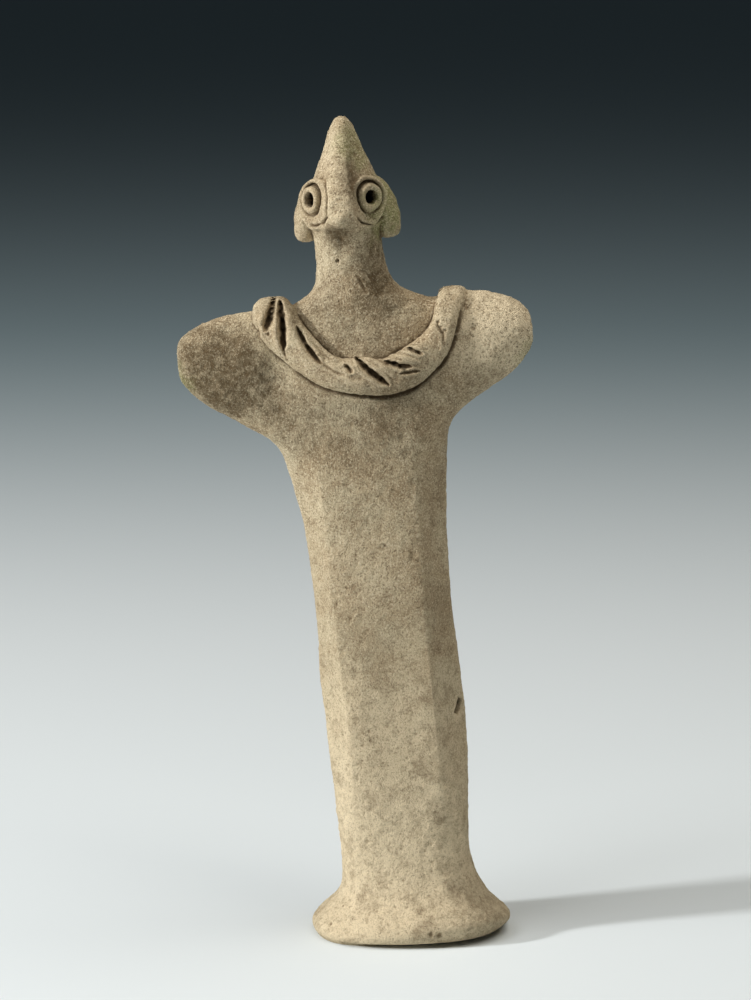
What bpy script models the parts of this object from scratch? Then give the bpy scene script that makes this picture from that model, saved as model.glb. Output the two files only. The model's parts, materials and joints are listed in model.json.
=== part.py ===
"""Terracotta goddess figurine: a pillar body with stub arms, a beaked head with pellet eyes, and a necklace.

Lengths are in metres, +Z is up and the figure faces -Y. The origin is on the ground, under the middle
of the foot.
The figure is laid out upright, and leaned() then gives every point the tilt of the hand-modelled original.
"left" and "right" are the viewer's, so left is -X.
"""

import math
from typing import NamedTuple

import bmesh
import bpy
from mathutils import Vector
from mathutils.bvhtree import BVHTree

# Driving dimensions
HEIGHT = 0.160
ARM_SPAN = 0.0712
ARM_THICKNESS = 0.0120
FOOT_WIDTH = 0.0384
FOOT_DEPTH = 0.0302
TRUNK_WIDTH = 0.0264
TRUNK_DEPTH = 0.0176
NECK_WIDTH = 0.0130
NECK_DEPTH = 0.0122
HEAD_WIDTH = 0.0150
HEAD_DEPTH = 0.0160
LOBE_WIDTH = 0.0044
LOBE_DEPTH = 0.0086
EYE_RADIUS = 0.0030
PUPIL_RADIUS = 0.0012
PUPIL_DEPTH = 0.0022
BAND_WIDTH = 0.0072
BAND_THICKNESS = 0.0024
RIM_LIFT = 0.0024

# Tilt of the trunk to the left, tilt that is left in the head, and turn of the face to the left
BODY_LEAN = math.radians(5.6)
HEAD_LEAN = math.radians(3.8)
HEAD_TURN = math.radians(6.0)

# The lean sets in between the first two heights and straightens between the last two, as shares of HEIGHT
LEAN_STARTS = (0.01, 0.10)
LEAN_ENDS = (0.81, 0.86)
LEAN_STEPS = 160

# Cage resolution
RING = 12
SMOOTHING = 2
LOBE_SMOOTHING = 1
BODY_TRIANGLES_KEPT = 0.42


class Section(NamedTuple):
    """One level of the cage: width and depth are in metres, and height and the two shifts are shares of HEIGHT.

    square goes from 0 for an ellipse towards a box with round corners, and beak from 0 to 1 for the face's
    wedge. lift is the share of RIM_LIFT by which the front right stands up.
    """

    height: float
    width: float
    depth: float
    forward: float = 0.0
    side: float = 0.0
    square: float = 0.0
    beak: float = 0.0
    lift: float = 0.0


# The foot's cage starts below the ground, where make_ground cuts the underside flat
FOOT = (
    Section(-0.006, 0.80 * FOOT_WIDTH, 0.78 * FOOT_DEPTH, square=0.3),
    Section(-0.002, 0.95 * FOOT_WIDTH, 0.94 * FOOT_DEPTH, square=0.3, lift=1.0),
    Section(0.008, 1.03 * FOOT_WIDTH, 1.02 * FOOT_DEPTH, square=0.3, lift=1.0),
    Section(0.021, 0.97 * FOOT_WIDTH, 0.98 * FOOT_DEPTH, square=0.2, lift=0.8),
    Section(0.037, 0.81 * FOOT_WIDTH, 0.84 * FOOT_DEPTH, side=-0.001, square=0.2, lift=0.4),
    Section(0.056, 0.69 * FOOT_WIDTH, 0.67 * FOOT_DEPTH, side=0.001, square=0.2),
)
TRUNK = (
    Section(0.092, 0.91 * TRUNK_WIDTH, 0.95 * TRUNK_DEPTH, side=-0.003, square=0.3),
    Section(0.180, 1.00 * TRUNK_WIDTH, 1.02 * TRUNK_DEPTH, 0.001, square=0.4),
    Section(0.280, 1.02 * TRUNK_WIDTH, 1.03 * TRUNK_DEPTH, 0.002, 0.001, square=0.4),
    Section(0.400, 0.99 * TRUNK_WIDTH, 0.99 * TRUNK_DEPTH, 0.001, 0.000, square=0.4),
    Section(0.490, 1.00 * TRUNK_WIDTH, 0.97 * TRUNK_DEPTH, 0.000, 0.001, square=0.4),
    Section(0.560, 1.09 * TRUNK_WIDTH, 0.95 * TRUNK_DEPTH, 0.000, -0.001, square=0.4),
)
CHEST = (
    Section(0.608, 1.20 * TRUNK_WIDTH, 0.93 * TRUNK_DEPTH, 0.001, -0.004, square=0.3),
    Section(0.660, 1.26 * TRUNK_WIDTH, 0.91 * TRUNK_DEPTH, 0.002, -0.002, square=0.3),
    Section(0.715, 1.26 * TRUNK_WIDTH, 0.86 * TRUNK_DEPTH, 0.002, square=0.3),
    Section(0.770, 1.16 * TRUNK_WIDTH, 0.72 * TRUNK_DEPTH, 0.000, square=0.2),
)
NECK = (
    Section(0.790, 1.26 * NECK_WIDTH, 1.12 * NECK_DEPTH, 0.000, 0.003),
    Section(0.808, 1.05 * NECK_WIDTH, 1.00 * NECK_DEPTH, 0.002, 0.002),
    Section(0.842, 0.98 * NECK_WIDTH, 0.98 * NECK_DEPTH, 0.003, 0.001),
    Section(0.864, 1.00 * NECK_WIDTH, 1.04 * NECK_DEPTH, 0.005, 0.000, beak=0.2),
)
HEAD = (
    Section(0.8735, 0.98 * HEAD_WIDTH, 1.00 * HEAD_DEPTH, 0.016, beak=1.0),
    Section(0.898, 1.00 * HEAD_WIDTH, 1.00 * HEAD_DEPTH, 0.014, beak=1.0),
    Section(0.926, 0.80 * HEAD_WIDTH, 0.85 * HEAD_DEPTH, 0.009, 0.001, beak=1.0),
    Section(0.955, 0.55 * HEAD_WIDTH, 0.60 * HEAD_DEPTH, 0.003, 0.001, beak=0.9),
    Section(0.982, 0.38 * HEAD_WIDTH, 0.41 * HEAD_DEPTH, -0.002, 0.001, beak=0.6),
    Section(1.0005, 0.16 * HEAD_WIDTH, 0.18 * HEAD_DEPTH, -0.004, 0.001, beak=0.2),
)
CHEST_START = len(FOOT) + len(TRUNK)
ROWS = len(CHEST)
CHEST_SIDE = max(section.width for section in CHEST) / 2

# Half of the head's plan outline, from the nose ridge round to the back, as shares of its half width
# and half depth
BEAK_OUTLINE = (
    (0.00, -1.03), (0.38, -1.01), (0.58, -0.45), (0.98, -0.05), (1.00, 0.52), (0.58, 0.96), (0.00, 1.04),
)


class ArmRing(NamedTuple):
    """One ring of an arm: reach runs from 0 at the chest's side to 1 at the tip. Heights are shares of HEIGHT.
    """

    reach: float
    low: float
    top: float
    thickness: float


ARM = (
    ArmRing(0.06, 0.630, 0.782, 1.00 * ARM_THICKNESS),
    ArmRing(0.40, 0.655, 0.781, 0.96 * ARM_THICKNESS),
    ArmRing(0.74, 0.676, 0.771, 0.86 * ARM_THICKNESS),
    ArmRing(0.93, 0.698, 0.754, 0.66 * ARM_THICKNESS),
)
ARM_TIP_CROWN = 0.0022
ARM_FORWARD = 0.001 * HEIGHT
ARM_SIDE = -0.004 * HEIGHT
# How much lower the left arm's underside runs at its root than the right arm's
LEFT_ARMPIT_DROP = 0.009

# Cheek lobes behind the eyes, bottom to top: height as a share of HEIGHT, reach as a share of HEAD_WIDTH,
# width as a share of LOBE_WIDTH and depth as a share of LOBE_DEPTH
LOBE = (
    (0.852, 0.52, 0.60, 0.50), (0.858, 0.53, 1.05, 0.90), (0.880, 0.52, 1.15, 1.05),
    (0.904, 0.46, 1.05, 1.00), (0.927, 0.36, 0.60, 0.70),
)
LOBE_RING = 8
LOBE_BACK = 0.010 * HEIGHT


class Eye(NamedTuple):
    """One eye in the head's own turned frame: place of its centre, and the way it faces from straight ahead."""

    side: float
    front: float
    height: float
    facing: float
    pad_width: float


EYES = {
    "left": Eye(-0.033 * HEIGHT, 0.033 * HEIGHT, 0.905 * HEIGHT, math.radians(-41), 1.10),
    "right": Eye(0.033 * HEIGHT, 0.036 * HEIGHT, 0.905 * HEIGHT, math.radians(40), 1.05),
}
# Half section of an eye from its buried rim to its pupil: radius as a share of EYE_RADIUS, height in metres
PAD_PROFILE = ((1.20, -0.0020), (1.28, 0.0003), (1.20, 0.0009), (1.08, 0.0009))
PELLET_PROFILE = ((1.00, 0.0002), (0.87, 0.0002), (0.83, 0.0011), (0.68, 0.0015), (0.46, 0.0014))
EYE_SEGMENTS = 18
PAD_DROP = 0.42
# Half section of the pupil's cutter: radius as a share of PUPIL_RADIUS, height in metres
PUPIL_PROUD = 0.0024
PUPIL_PROFILE = ((1.2, PUPIL_PROUD), (1.0, 0.0), (0.7, -PUPIL_DEPTH))


class Guide(NamedTuple):
    """A point of the necklace: place in front view as shares of half ARM_SPAN and HEIGHT, bearing and width.

    A bearing of 0 degrees meets the body from the front, 90 from above and 180 from behind. Width and thickness
    are shares of BAND_WIDTH and BAND_THICKNESS.
    """

    side: float
    height: float
    bearing: float
    width: float
    thickness: float


NECKLACE = (
    Guide(-0.45, 0.725, 180, 0.85, 0.6),
    Guide(-0.45, 0.745, 140, 1.00, 0.8),
    Guide(-0.45, 0.745, 90, 1.08, 1.0),
    Guide(-0.45, 0.745, 45, 1.10, 1.1),
    Guide(-0.44, 0.752, 12, 1.10, 1.1),
    Guide(-0.38, 0.738, 0, 1.00, 1.0),
    Guide(-0.26, 0.718, 0, 0.94, 1.0),
    Guide(-0.13, 0.704, 0, 0.94, 1.0),
    Guide(0.00, 0.697, 0, 1.00, 1.0),
    Guide(0.13, 0.696, 0, 1.02, 1.0),
    Guide(0.25, 0.704, 0, 1.02, 1.0),
    Guide(0.36, 0.720, 0, 0.94, 0.9),
    Guide(0.45, 0.740, 0, 0.76, 0.8),
    Guide(0.49, 0.750, 12, 0.68, 0.7),
    Guide(0.51, 0.745, 45, 0.70, 0.5),
    Guide(0.52, 0.745, 90, 0.72, 0.4),
    Guide(0.53, 0.745, 140, 0.68, 0.4),
    Guide(0.53, 0.725, 180, 0.60, 0.4),
)
BAND_STEPS = 5
BAND_ACROSS = 9
BAND_SINK = 0.0012
# How far the band's top falls at its edges, the share of its width that is buried, and how squarely a
# stretch has to face the front to be gouged
BAND_ROUNDING = 0.9
BAND_BURIED = 0.83
GOUGED_FRONT = 0.5
# How much of a bend's radius the band's inner edge may take up, so that it never folds over itself
BEND_LIMIT = 0.75


class Slash(NamedTuple):
    """A gouge across the necklace in front view. Its ends are shares of half ARM_SPAN and HEIGHT."""

    start: tuple
    end: tuple
    width: float
    depth: float


SLASHES = (
    Slash((-0.455, 0.800), (-0.455, 0.765), 0.0014, 0.0018),
    Slash((-0.400, 0.796), (-0.385, 0.745), 0.0014, 0.0020),
    Slash((-0.310, 0.755), (-0.150, 0.710), 0.0012, 0.0015),
    Slash((0.000, 0.715), (0.150, 0.685), 0.0014, 0.0018),
    Slash((0.150, 0.715), (0.280, 0.697), 0.0012, 0.0015),
    Slash((0.290, 0.735), (0.400, 0.715), 0.0011, 0.0013),
)

# A gash in the trunk's front right corner: ends in front view as shares of TRUNK_WIDTH and HEIGHT
GASH = ((0.43, 0.283), (0.53, 0.305))
GASH_WIDTH = 0.0009
GASH_DEPTH = 0.0022
# The wedge along the gash: place as a share of its length from its middle, and share of GASH_WIDTH there
GASH_TAPER = ((-0.6, 0.3), (-0.2, 1.0), (0.3, 1.0), (0.7, 0.4))

CLAY_COLOUR = (0.42, 0.36, 0.24, 1.0)
CLAY_ROUGHNESS = 0.95
RAY = 0.05


def ease(value, start, end):
    """0 before start, 1 after end, and a smooth rise between."""
    share = min(max((value - start) / (end - start), 0.0), 1.0)
    return share * share * (3 - 2 * share)


def lean_angle(height):
    rise = ease(height / HEIGHT, *LEAN_STARTS)
    relief = ease(height / HEIGHT, *LEAN_ENDS)
    return BODY_LEAN * rise - (BODY_LEAN - HEAD_LEAN) * relief


def axis_points():
    """The figure's leaning axis, stepped up from the foot and ending at HEIGHT."""
    step = HEIGHT / LEAN_STEPS
    points = [Vector((0, 0, 0))]
    for k in range(LEAN_STEPS):
        angle = lean_angle((k + 0.5) * step)
        points.append(points[-1] + Vector((-math.sin(angle), 0, math.cos(angle))) * step)
    stretch = HEIGHT / points[-1].z
    return [Vector((p.x, 0, p.z * stretch)) for p in points]


AXIS = axis_points()


def leaned(point):
    """An upright point, moved with the leaning axis at its height."""
    steps = min(max(point[2] / HEIGHT, 0.0), 1.0) * LEAN_STEPS
    k = min(int(steps), LEAN_STEPS - 1)
    base = AXIS[k].lerp(AXIS[k + 1], steps - k)
    over = point[2] - min(max(point[2], 0.0), HEIGHT)
    angle = lean_angle(point[2])
    sideways = Vector((math.cos(angle), 0, math.sin(angle)))
    upwards = Vector((-math.sin(angle), 0, math.cos(angle)))
    return base + sideways * point[0] + Vector((0, point[1], 0)) + upwards * over


def turned(point):
    """A point of the head, turned about the figure's axis so that the face looks to the left."""
    x, y, z = point
    cos_turn, sin_turn = math.cos(HEAD_TURN), math.sin(HEAD_TURN)
    return Vector((x * cos_turn + y * sin_turn, y * cos_turn - x * sin_turn, z))


def spread(count):
    """How much larger a cage ring is than the smooth ring that it gives."""
    return 3 / (2 + math.cos(2 * math.pi / count))


def plan_outline(square, beak):
    """RING points on a unit plan outline from the front round by the right: ellipse, rounded box or beaked."""
    power = 2 / (2 + 2 * square)
    for k in range(RING):
        angle = 2 * math.pi * k / RING
        round_x = math.copysign(abs(math.sin(angle)) ** power, math.sin(angle))
        round_y = -math.copysign(abs(math.cos(angle)) ** power, math.cos(angle))
        mirrored = k > RING // 2
        beak_x, beak_y = BEAK_OUTLINE[RING - k if mirrored else k]
        if mirrored:
            beak_x = -beak_x
        yield round_x * (1 - beak) + beak_x * beak, round_y * (1 - beak) + beak_y * beak


def section_points(section):
    """The cage points of one section."""
    grow = spread(RING)
    for x, y in plan_outline(section.square, section.beak):
        facing = max(0.0, (x - y) / math.sqrt(2))
        height = section.height * HEIGHT + section.lift * RIM_LIFT * facing * facing
        point = (
            x * grow * section.width / 2 + section.side * HEIGHT,
            y * grow * section.depth / 2 - section.forward * HEIGHT,
            height,
        )
        yield turned(point) if section.beak else Vector(point)


def skin_rings(bm, rings):
    """Quads between rings of points, with the first and last ring capped."""
    loops = [[bm.verts.new(leaned(p)) for p in ring] for ring in rings]
    bands = []
    for low, high in zip(loops, loops[1:]):
        count = len(low)
        bands.append([
            bm.faces.new((low[k], low[(k + 1) % count], high[(k + 1) % count], high[k])) for k in range(count)
        ])
    bm.faces.new(reversed(loops[0]))
    bm.faces.new(loops[-1])
    return loops, bands


def arm_place(ring, side, across, along):
    """A point of an arm's ring, from its place in the square patch that the arm grows from.

    Points inside the ring crown outwards, which rounds the last ring into the arm's tip.
    """
    crown = ARM_TIP_CROWN * (1 - across * across) * (1 - along * along)
    disc_across = across * math.sqrt(1 - along * along / 2)
    disc_along = along * math.sqrt(1 - across * across / 2)
    grow = spread(2 * ROWS + 2)
    low = ring.low - (LEFT_ARMPIT_DROP * (1 - ring.reach) if side < 0 else 0.0)
    middle = (low + ring.top) / 2
    half_height = (ring.top - low) / 2 * HEIGHT * grow
    return Vector((
        side * (CHEST_SIDE + ring.reach * (ARM_SPAN / 2 - CHEST_SIDE) + crown) + ARM_SIDE,
        disc_across * grow * ring.thickness / 2 - ARM_FORWARD,
        middle * HEIGHT + disc_along * half_height,
    ))


def grow_arm(bm, loops, bands, side):
    """Extrudes the chest's side faces into a flat stub arm that narrows to a round end."""
    column = RING // 4 if side > 0 else 3 * RING // 4
    ring_rows = range(CHEST_START, CHEST_START + ROWS)
    patch = [bands[row][k] for row in ring_rows[:-1] for k in (column - 1, column)]
    places = {}
    for row in ring_rows:
        for step in (-1, 0, 1):
            along = 2 * (row - CHEST_START) / (ROWS - 1) - 1
            places[loops[row][column + step]] = (step * side, along)
    for ring in ARM:
        before = dict(places)
        extruded = bmesh.ops.extrude_face_region(bm, geom=patch)["geom"]
        bmesh.ops.delete(bm, geom=patch, context="FACES")
        new_points = [g for g in extruded if isinstance(g, bmesh.types.BMVert)]
        patch = [g for g in extruded if isinstance(g, bmesh.types.BMFace)]
        places = {}
        for point in new_points:
            twin = min((v for v in before if v.is_valid), key=lambda v: (v.co - point.co).length)
            places[point] = before[twin]
        for point, (across, along) in places.items():
            point.co = leaned(arm_place(ring, side, across, along))


def object_from(name, bm):
    bmesh.ops.delete(bm, geom=[v for v in bm.verts if not v.link_faces], context="VERTS")
    bmesh.ops.recalc_face_normals(bm, faces=bm.faces)
    mesh = bpy.data.meshes.new(name)
    bm.to_mesh(mesh)
    bm.free()
    mesh.shade_smooth()
    obj = bpy.data.objects.new(name, mesh)
    bpy.context.collection.objects.link(obj)
    return obj


def smooth_cage(obj, levels):
    modifier = obj.modifiers.new("smooth", "SUBSURF")
    modifier.levels = levels
    modifier.render_levels = levels


def make_body():
    """The foot, trunk, arms, neck and head as one cage."""
    bm = bmesh.new()
    sections = FOOT + TRUNK + CHEST + NECK + HEAD
    loops, bands = skin_rings(bm, [list(section_points(s)) for s in sections])
    for side in (-1, 1):
        grow_arm(bm, loops, bands, side)
    body = object_from("terracotta_goddess_figurine", bm)
    smooth_cage(body, SMOOTHING)
    return body


def surface_of(obj):
    """The smoothed surface of an object, to cast rays at."""
    bpy.context.view_layer.update()
    return BVHTree.FromObject(obj, bpy.context.evaluated_depsgraph_get())


def make_lobe(side):
    """A flat lobe of clay that hangs behind an eye."""
    bm = bmesh.new()
    grow = spread(LOBE_RING)
    rings = []
    for height, reach, width, depth in LOBE:
        ring = []
        for k in range(LOBE_RING):
            angle = 2 * math.pi * k / LOBE_RING
            ring.append(turned((
                side * reach * HEAD_WIDTH + grow * width * LOBE_WIDTH / 2 * math.cos(angle),
                LOBE_BACK + grow * depth * LOBE_DEPTH / 2 * math.sin(angle),
                height * HEIGHT,
            )))
        rings.append(ring)
    skin_rings(bm, rings)
    lobe = object_from(f"lobe_{'left' if side < 0 else 'right'}", bm)
    smooth_cage(lobe, LOBE_SMOOTHING)
    return lobe


def eye_frame(eye, surface):
    """Where an eye's centre meets the head, and the directions outwards, sideways and up there."""
    inside = turned((eye.side, -eye.front, eye.height))
    facing = eye.facing - HEAD_TURN
    outwards = Vector((math.sin(facing), -math.cos(facing), 0))
    centre = leaned(inside)
    hit = surface.ray_cast(centre + outwards * RAY, -outwards)[0]
    return hit, outwards, Vector((-outwards.y, outwards.x, 0)), Vector((0, 0, 1))


def turned_rings(profile, frame, eye, drop):
    """Rings of a turned profile on the eye's frame. The rings outside the pellet sag by the share drop."""
    centre, outwards, sideways, upwards = frame
    for share, height in profile:
        outside = share > PELLET_PROFILE[0][0]
        wide = eye.pad_width if outside else 1.0
        ring = []
        for k in range(EYE_SEGMENTS):
            angle = 2 * math.pi * k / EYE_SEGMENTS
            across = math.cos(angle) * wide
            down = drop * max(0.0, -math.sin(angle)) if outside else 0.0
            along = math.sin(angle) * (1 + down)
            radius = share * EYE_RADIUS
            ring.append(centre + outwards * height + sideways * across * radius + upwards * along * radius)
        yield ring


def skin_world_rings(bm, rings):
    loops = [[bm.verts.new(p) for p in ring] for ring in rings]
    for low, high in zip(loops, loops[1:]):
        count = len(low)
        for k in range(count):
            bm.faces.new((low[k], low[(k + 1) % count], high[(k + 1) % count], high[k]))
    bm.faces.new(reversed(loops[0]))
    bm.faces.new(loops[-1])


def make_eye(name, eye, surface):
    """An applied pad that sags below a round pellet, with a groove between them."""
    frame = eye_frame(eye, surface)
    bm = bmesh.new()
    skin_world_rings(bm, list(turned_rings(PAD_PROFILE + PELLET_PROFILE, frame, eye, PAD_DROP)))
    applied = object_from(f"eye_{name}", bm)

    bm = bmesh.new()
    profile = [(share * PUPIL_RADIUS / EYE_RADIUS, height) for share, height in PUPIL_PROFILE]
    skin_world_rings(bm, list(turned_rings(profile, frame, eye, 0.0)))
    pupil = object_from(f"pupil_{name}", bm)
    return applied, pupil


def between(points, share):
    """A smooth curve through the points, read at a share of its way along them."""
    steps = share * (len(points) - 1)
    k = min(int(steps), len(points) - 2)
    t = steps - k
    before, start, end, after = (points[min(max(k + d, 0), len(points) - 1)] for d in (-1, 0, 1, 2))
    values = []
    for a, b, c, d in zip(before, start, end, after):
        values.append(b + 0.5 * t * (c - a + t * (2 * a - 5 * b + 4 * c - d + t * (3 * (b - c) + d - a))))
    return values


def eased_along(values):
    """Each value of a list of vectors, averaged with its neighbours."""
    last = len(values) - 1
    return [(values[max(k - 1, 0)] + values[k] * 2 + values[min(k + 1, last)]) / 4 for k in range(len(values))]


def free_reach(centres, sideways, k, side):
    """How far the band can reach to one side at a point before its edge would fold over in the bend."""
    before, after = max(k - 1, 0), min(k + 1, len(centres) - 1)
    forwards = centres[after] - centres[before]
    pull = -side * (sideways[after] - sideways[before]).dot(forwards.normalized())
    return BEND_LIMIT * forwards.length / pull if pull > 0 else math.inf


def necklace_line(surface):
    """Points of the necklace on the body, each with its ways outwards and sideways, reaches and thickness."""
    count = (len(NECKLACE) - 1) * BAND_STEPS
    centres, directions, widths, thicknesses = [], [], [], []
    for k in range(count + 1):
        side, height, bearing, width, thickness = between(NECKLACE, k / count)
        turn = math.radians(bearing)
        outwards = Vector((0, -math.cos(turn), math.sin(turn)))
        inside = leaned((side * ARM_SPAN / 2, 0, height * HEIGHT))
        hit, normal = surface.ray_cast(inside + outwards * RAY, -outwards)[:2]
        centres.append(hit)
        directions.append((outwards + normal).normalized())
        widths.append(width * BAND_WIDTH)
        thicknesses.append(thickness * BAND_THICKNESS)
    directions = [way.normalized() for way in eased_along(eased_along(directions))]
    centres = eased_along(centres)
    sideways = []
    for k, outwards in enumerate(directions):
        forwards = centres[min(k + 1, count)] - centres[max(k - 1, 0)]
        sideways.append(forwards.cross(outwards).normalized())
    sideways = [way.normalized() for way in eased_along(eased_along(sideways))]
    reaches = []
    for side in (-1, 1):
        limited = [min(widths[k] / 2, free_reach(centres, sideways, k, side)) for k in range(count + 1)]
        reaches.append(eased_along(limited))
    return list(zip(centres, directions, sideways, zip(*reaches), thicknesses))


def slash_depth(point):
    """How deep the gouges cut at a point of the necklace, seen from the front."""
    deepest = 0.0
    for slash in SLASHES:
        start, end = (leaned((s * ARM_SPAN / 2, 0, h * HEIGHT)) for s, h in (slash.start, slash.end))
        line = Vector((end.x - start.x, end.z - start.z))
        offset = Vector((point.x - start.x, point.z - start.z))
        along = min(max(offset.dot(line) / line.length_squared, 0.0), 1.0)
        distance = (offset - line * along).length
        taper = 1 - (2 * along - 1) ** 4
        deepest = max(deepest, slash.depth * taper * (1 - ease(distance, 0.0, slash.width)))
    return deepest


def across_band(centre, sideways, reaches, share):
    """A point across the band, where share runs from -1 at one edge to 1 at the other."""
    lower, upper = reaches
    return centre + sideways * share * (upper if share > 0 else lower)


def make_necklace(surface):
    """A strip of clay pressed on over the shoulders and chest, scored as if it were twisted."""
    bm = bmesh.new()
    rings = []
    for centre, outwards, sideways, reaches, thickness in necklace_line(surface):
        ring = []
        for step in range(BAND_ACROSS):
            share = 2 * step / (BAND_ACROSS - 1) - 1
            top = thickness * math.sqrt(1 - BAND_ROUNDING * share ** 4)
            point = across_band(centre, sideways, reaches, share)
            front = -outwards.y > GOUGED_FRONT
            cut = slash_depth(point) if front and abs(share) < 1 else 0.0
            ring.append(point + outwards * (top - cut))
        for share in (1, 0, -1):
            ring.append(across_band(centre, sideways, reaches, share * BAND_BURIED) - outwards * BAND_SINK)
        rings.append(ring)
    skin_world_rings(bm, rings)
    return object_from("necklace", bm)


def make_gash(surface):
    """A thin wedge that cuts the gash in the trunk's front right corner."""
    low, high = (leaned((s * TRUNK_WIDTH, 0, h * HEIGHT)) for s, h in GASH)
    inwards = Vector((-1, 1, 0)).normalized()
    middle = (low + high) / 2
    hit = surface.ray_cast(middle - inwards * RAY, inwards)[0]
    along = high - low
    across = inwards.cross(along).normalized() * GASH_WIDTH / 2
    bm = bmesh.new()
    rings = []
    for share, wide in GASH_TAPER:
        centre = hit + along * share
        deep = centre + inwards * GASH_DEPTH
        proud = centre - inwards * GASH_DEPTH
        rings.append([proud + across * wide, proud - across * wide,
                      deep - across * wide / 2, deep + across * wide / 2])
    skin_world_rings(bm, rings)
    return object_from("gash", bm)


def make_ground():
    """A block with its top at the ground, which cuts the underside flat."""
    bm = bmesh.new()
    bmesh.ops.create_cube(bm, size=2 * FOOT_WIDTH)
    bmesh.ops.translate(bm, vec=(0, 0, -FOOT_WIDTH), verts=bm.verts)
    return object_from("ground", bm)


def use_helper(body, helper, operation, folds=False):
    """Joins a helper shape to the body, or cuts it out, and keeps the helper out of the model."""
    helper.hide_render = True
    helper.display_type = "WIRE"
    modifier = body.modifiers.new(helper.name, "BOOLEAN")
    modifier.operation = operation
    modifier.object = helper
    modifier.use_self = folds


def clay():
    material = bpy.data.materials.new("fired_clay")
    material.use_nodes = True
    shader = material.node_tree.nodes["Principled BSDF"]
    shader.inputs["Base Color"].default_value = CLAY_COLOUR
    shader.inputs["Roughness"].default_value = CLAY_ROUGHNESS
    shader.inputs["Metallic"].default_value = 0.0
    return material


def main():
    for obj in list(bpy.data.objects):
        bpy.data.objects.remove(obj)
    body = make_body()
    surface = surface_of(body)
    lighter = body.modifiers.new("fewer_triangles", "DECIMATE")
    lighter.ratio = BODY_TRIANGLES_KEPT
    for side in (-1, 1):
        use_helper(body, make_lobe(side), "UNION")
    pupils = []
    for name, eye in EYES.items():
        applied, pupil = make_eye(name, eye, surface)
        use_helper(body, applied, "UNION")
        pupils.append(pupil)
    use_helper(body, make_necklace(surface), "UNION", folds=True)
    for pupil in pupils:
        use_helper(body, pupil, "DIFFERENCE")
    use_helper(body, make_gash(surface), "DIFFERENCE")
    use_helper(body, make_ground(), "DIFFERENCE")
    body.data.materials.append(clay())


main()
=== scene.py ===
# %% [markdown]
# The terracotta goddess figurine
#
# This script builds the looks of one small hand-modelled clay idol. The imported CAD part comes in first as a
# fixed frame, which says where the object is and how large it is. The CAD solid is closed and correct but plain,
# so one detailed clay mesh is built to stand for it: the same forms at a fine resolution, melted into one skin
# as wet clay melts together, then worked over with lumps, pits, gouges and grains.

# %% Load the frame
import itertools
import json
import math
from typing import NamedTuple

import bmesh
import bpy
import numpy as np
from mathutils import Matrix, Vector
from mathutils.bvhtree import BVHTree
from mathutils.kdtree import KDTree

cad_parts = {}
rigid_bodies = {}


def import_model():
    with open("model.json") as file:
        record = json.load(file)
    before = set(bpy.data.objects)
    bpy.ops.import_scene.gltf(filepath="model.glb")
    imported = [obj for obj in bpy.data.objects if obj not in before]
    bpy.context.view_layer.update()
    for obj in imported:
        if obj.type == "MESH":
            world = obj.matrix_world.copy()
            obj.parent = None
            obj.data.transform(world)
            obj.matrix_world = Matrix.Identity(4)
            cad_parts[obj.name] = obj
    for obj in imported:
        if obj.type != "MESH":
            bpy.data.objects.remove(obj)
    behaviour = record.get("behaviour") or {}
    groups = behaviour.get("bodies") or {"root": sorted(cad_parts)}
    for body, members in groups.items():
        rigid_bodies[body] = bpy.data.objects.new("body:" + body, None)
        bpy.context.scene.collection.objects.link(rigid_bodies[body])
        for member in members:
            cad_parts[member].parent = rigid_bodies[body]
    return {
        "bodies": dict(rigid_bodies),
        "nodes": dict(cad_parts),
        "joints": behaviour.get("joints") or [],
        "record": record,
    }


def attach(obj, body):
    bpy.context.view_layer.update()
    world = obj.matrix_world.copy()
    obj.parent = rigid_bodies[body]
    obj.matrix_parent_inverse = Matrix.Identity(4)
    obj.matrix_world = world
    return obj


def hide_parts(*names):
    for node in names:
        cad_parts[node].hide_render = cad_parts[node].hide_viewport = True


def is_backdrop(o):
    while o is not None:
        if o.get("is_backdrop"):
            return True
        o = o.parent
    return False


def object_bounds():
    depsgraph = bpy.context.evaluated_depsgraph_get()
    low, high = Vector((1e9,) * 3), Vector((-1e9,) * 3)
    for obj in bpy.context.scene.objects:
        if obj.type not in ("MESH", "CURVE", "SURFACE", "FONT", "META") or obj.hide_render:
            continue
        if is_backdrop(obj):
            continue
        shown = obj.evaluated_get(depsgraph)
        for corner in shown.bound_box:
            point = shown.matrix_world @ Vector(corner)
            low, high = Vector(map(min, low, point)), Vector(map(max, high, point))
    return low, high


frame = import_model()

CAD_BOX = [list(corner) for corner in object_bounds()]
NODE = "terracotta_goddess_figurine"
MM = 0.001
print("CAD box in mm", [[round(c / MM, 2) for c in corner] for corner in CAD_BOX])

# %% [markdown]
# Driving sizes
#
# A potter rolls a thick sausage of clay, flares its foot, pinches two stub arms and a beak out of it, and presses
# pellets and a strip on. These are the sizes of those forms in metres. Everything else is a share of them, so the
# figure can be made taller or stouter without redrawing it. "left" and "right" are the viewer's, so left is -X.

# %% Driving sizes
HEIGHT = 0.160
ARM_SPAN = 0.0712
ARM_THICKNESS = 0.0120
FOOT_WIDTH = 0.0384
FOOT_DEPTH = 0.0302
TRUNK_WIDTH = 0.0264
TRUNK_DEPTH = 0.0176
NECK_WIDTH = 0.0130
NECK_DEPTH = 0.0122
HEAD_WIDTH = 0.0150
HEAD_DEPTH = 0.0160
LOBE_WIDTH = 0.0044
LOBE_DEPTH = 0.0086
EYE_RADIUS = 0.0030
PUPIL_RADIUS = 0.0012
PUPIL_DEPTH = 0.0022
BAND_WIDTH = 0.0072
BAND_THICKNESS = 0.0024
RIM_LIFT = 0.0024

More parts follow.
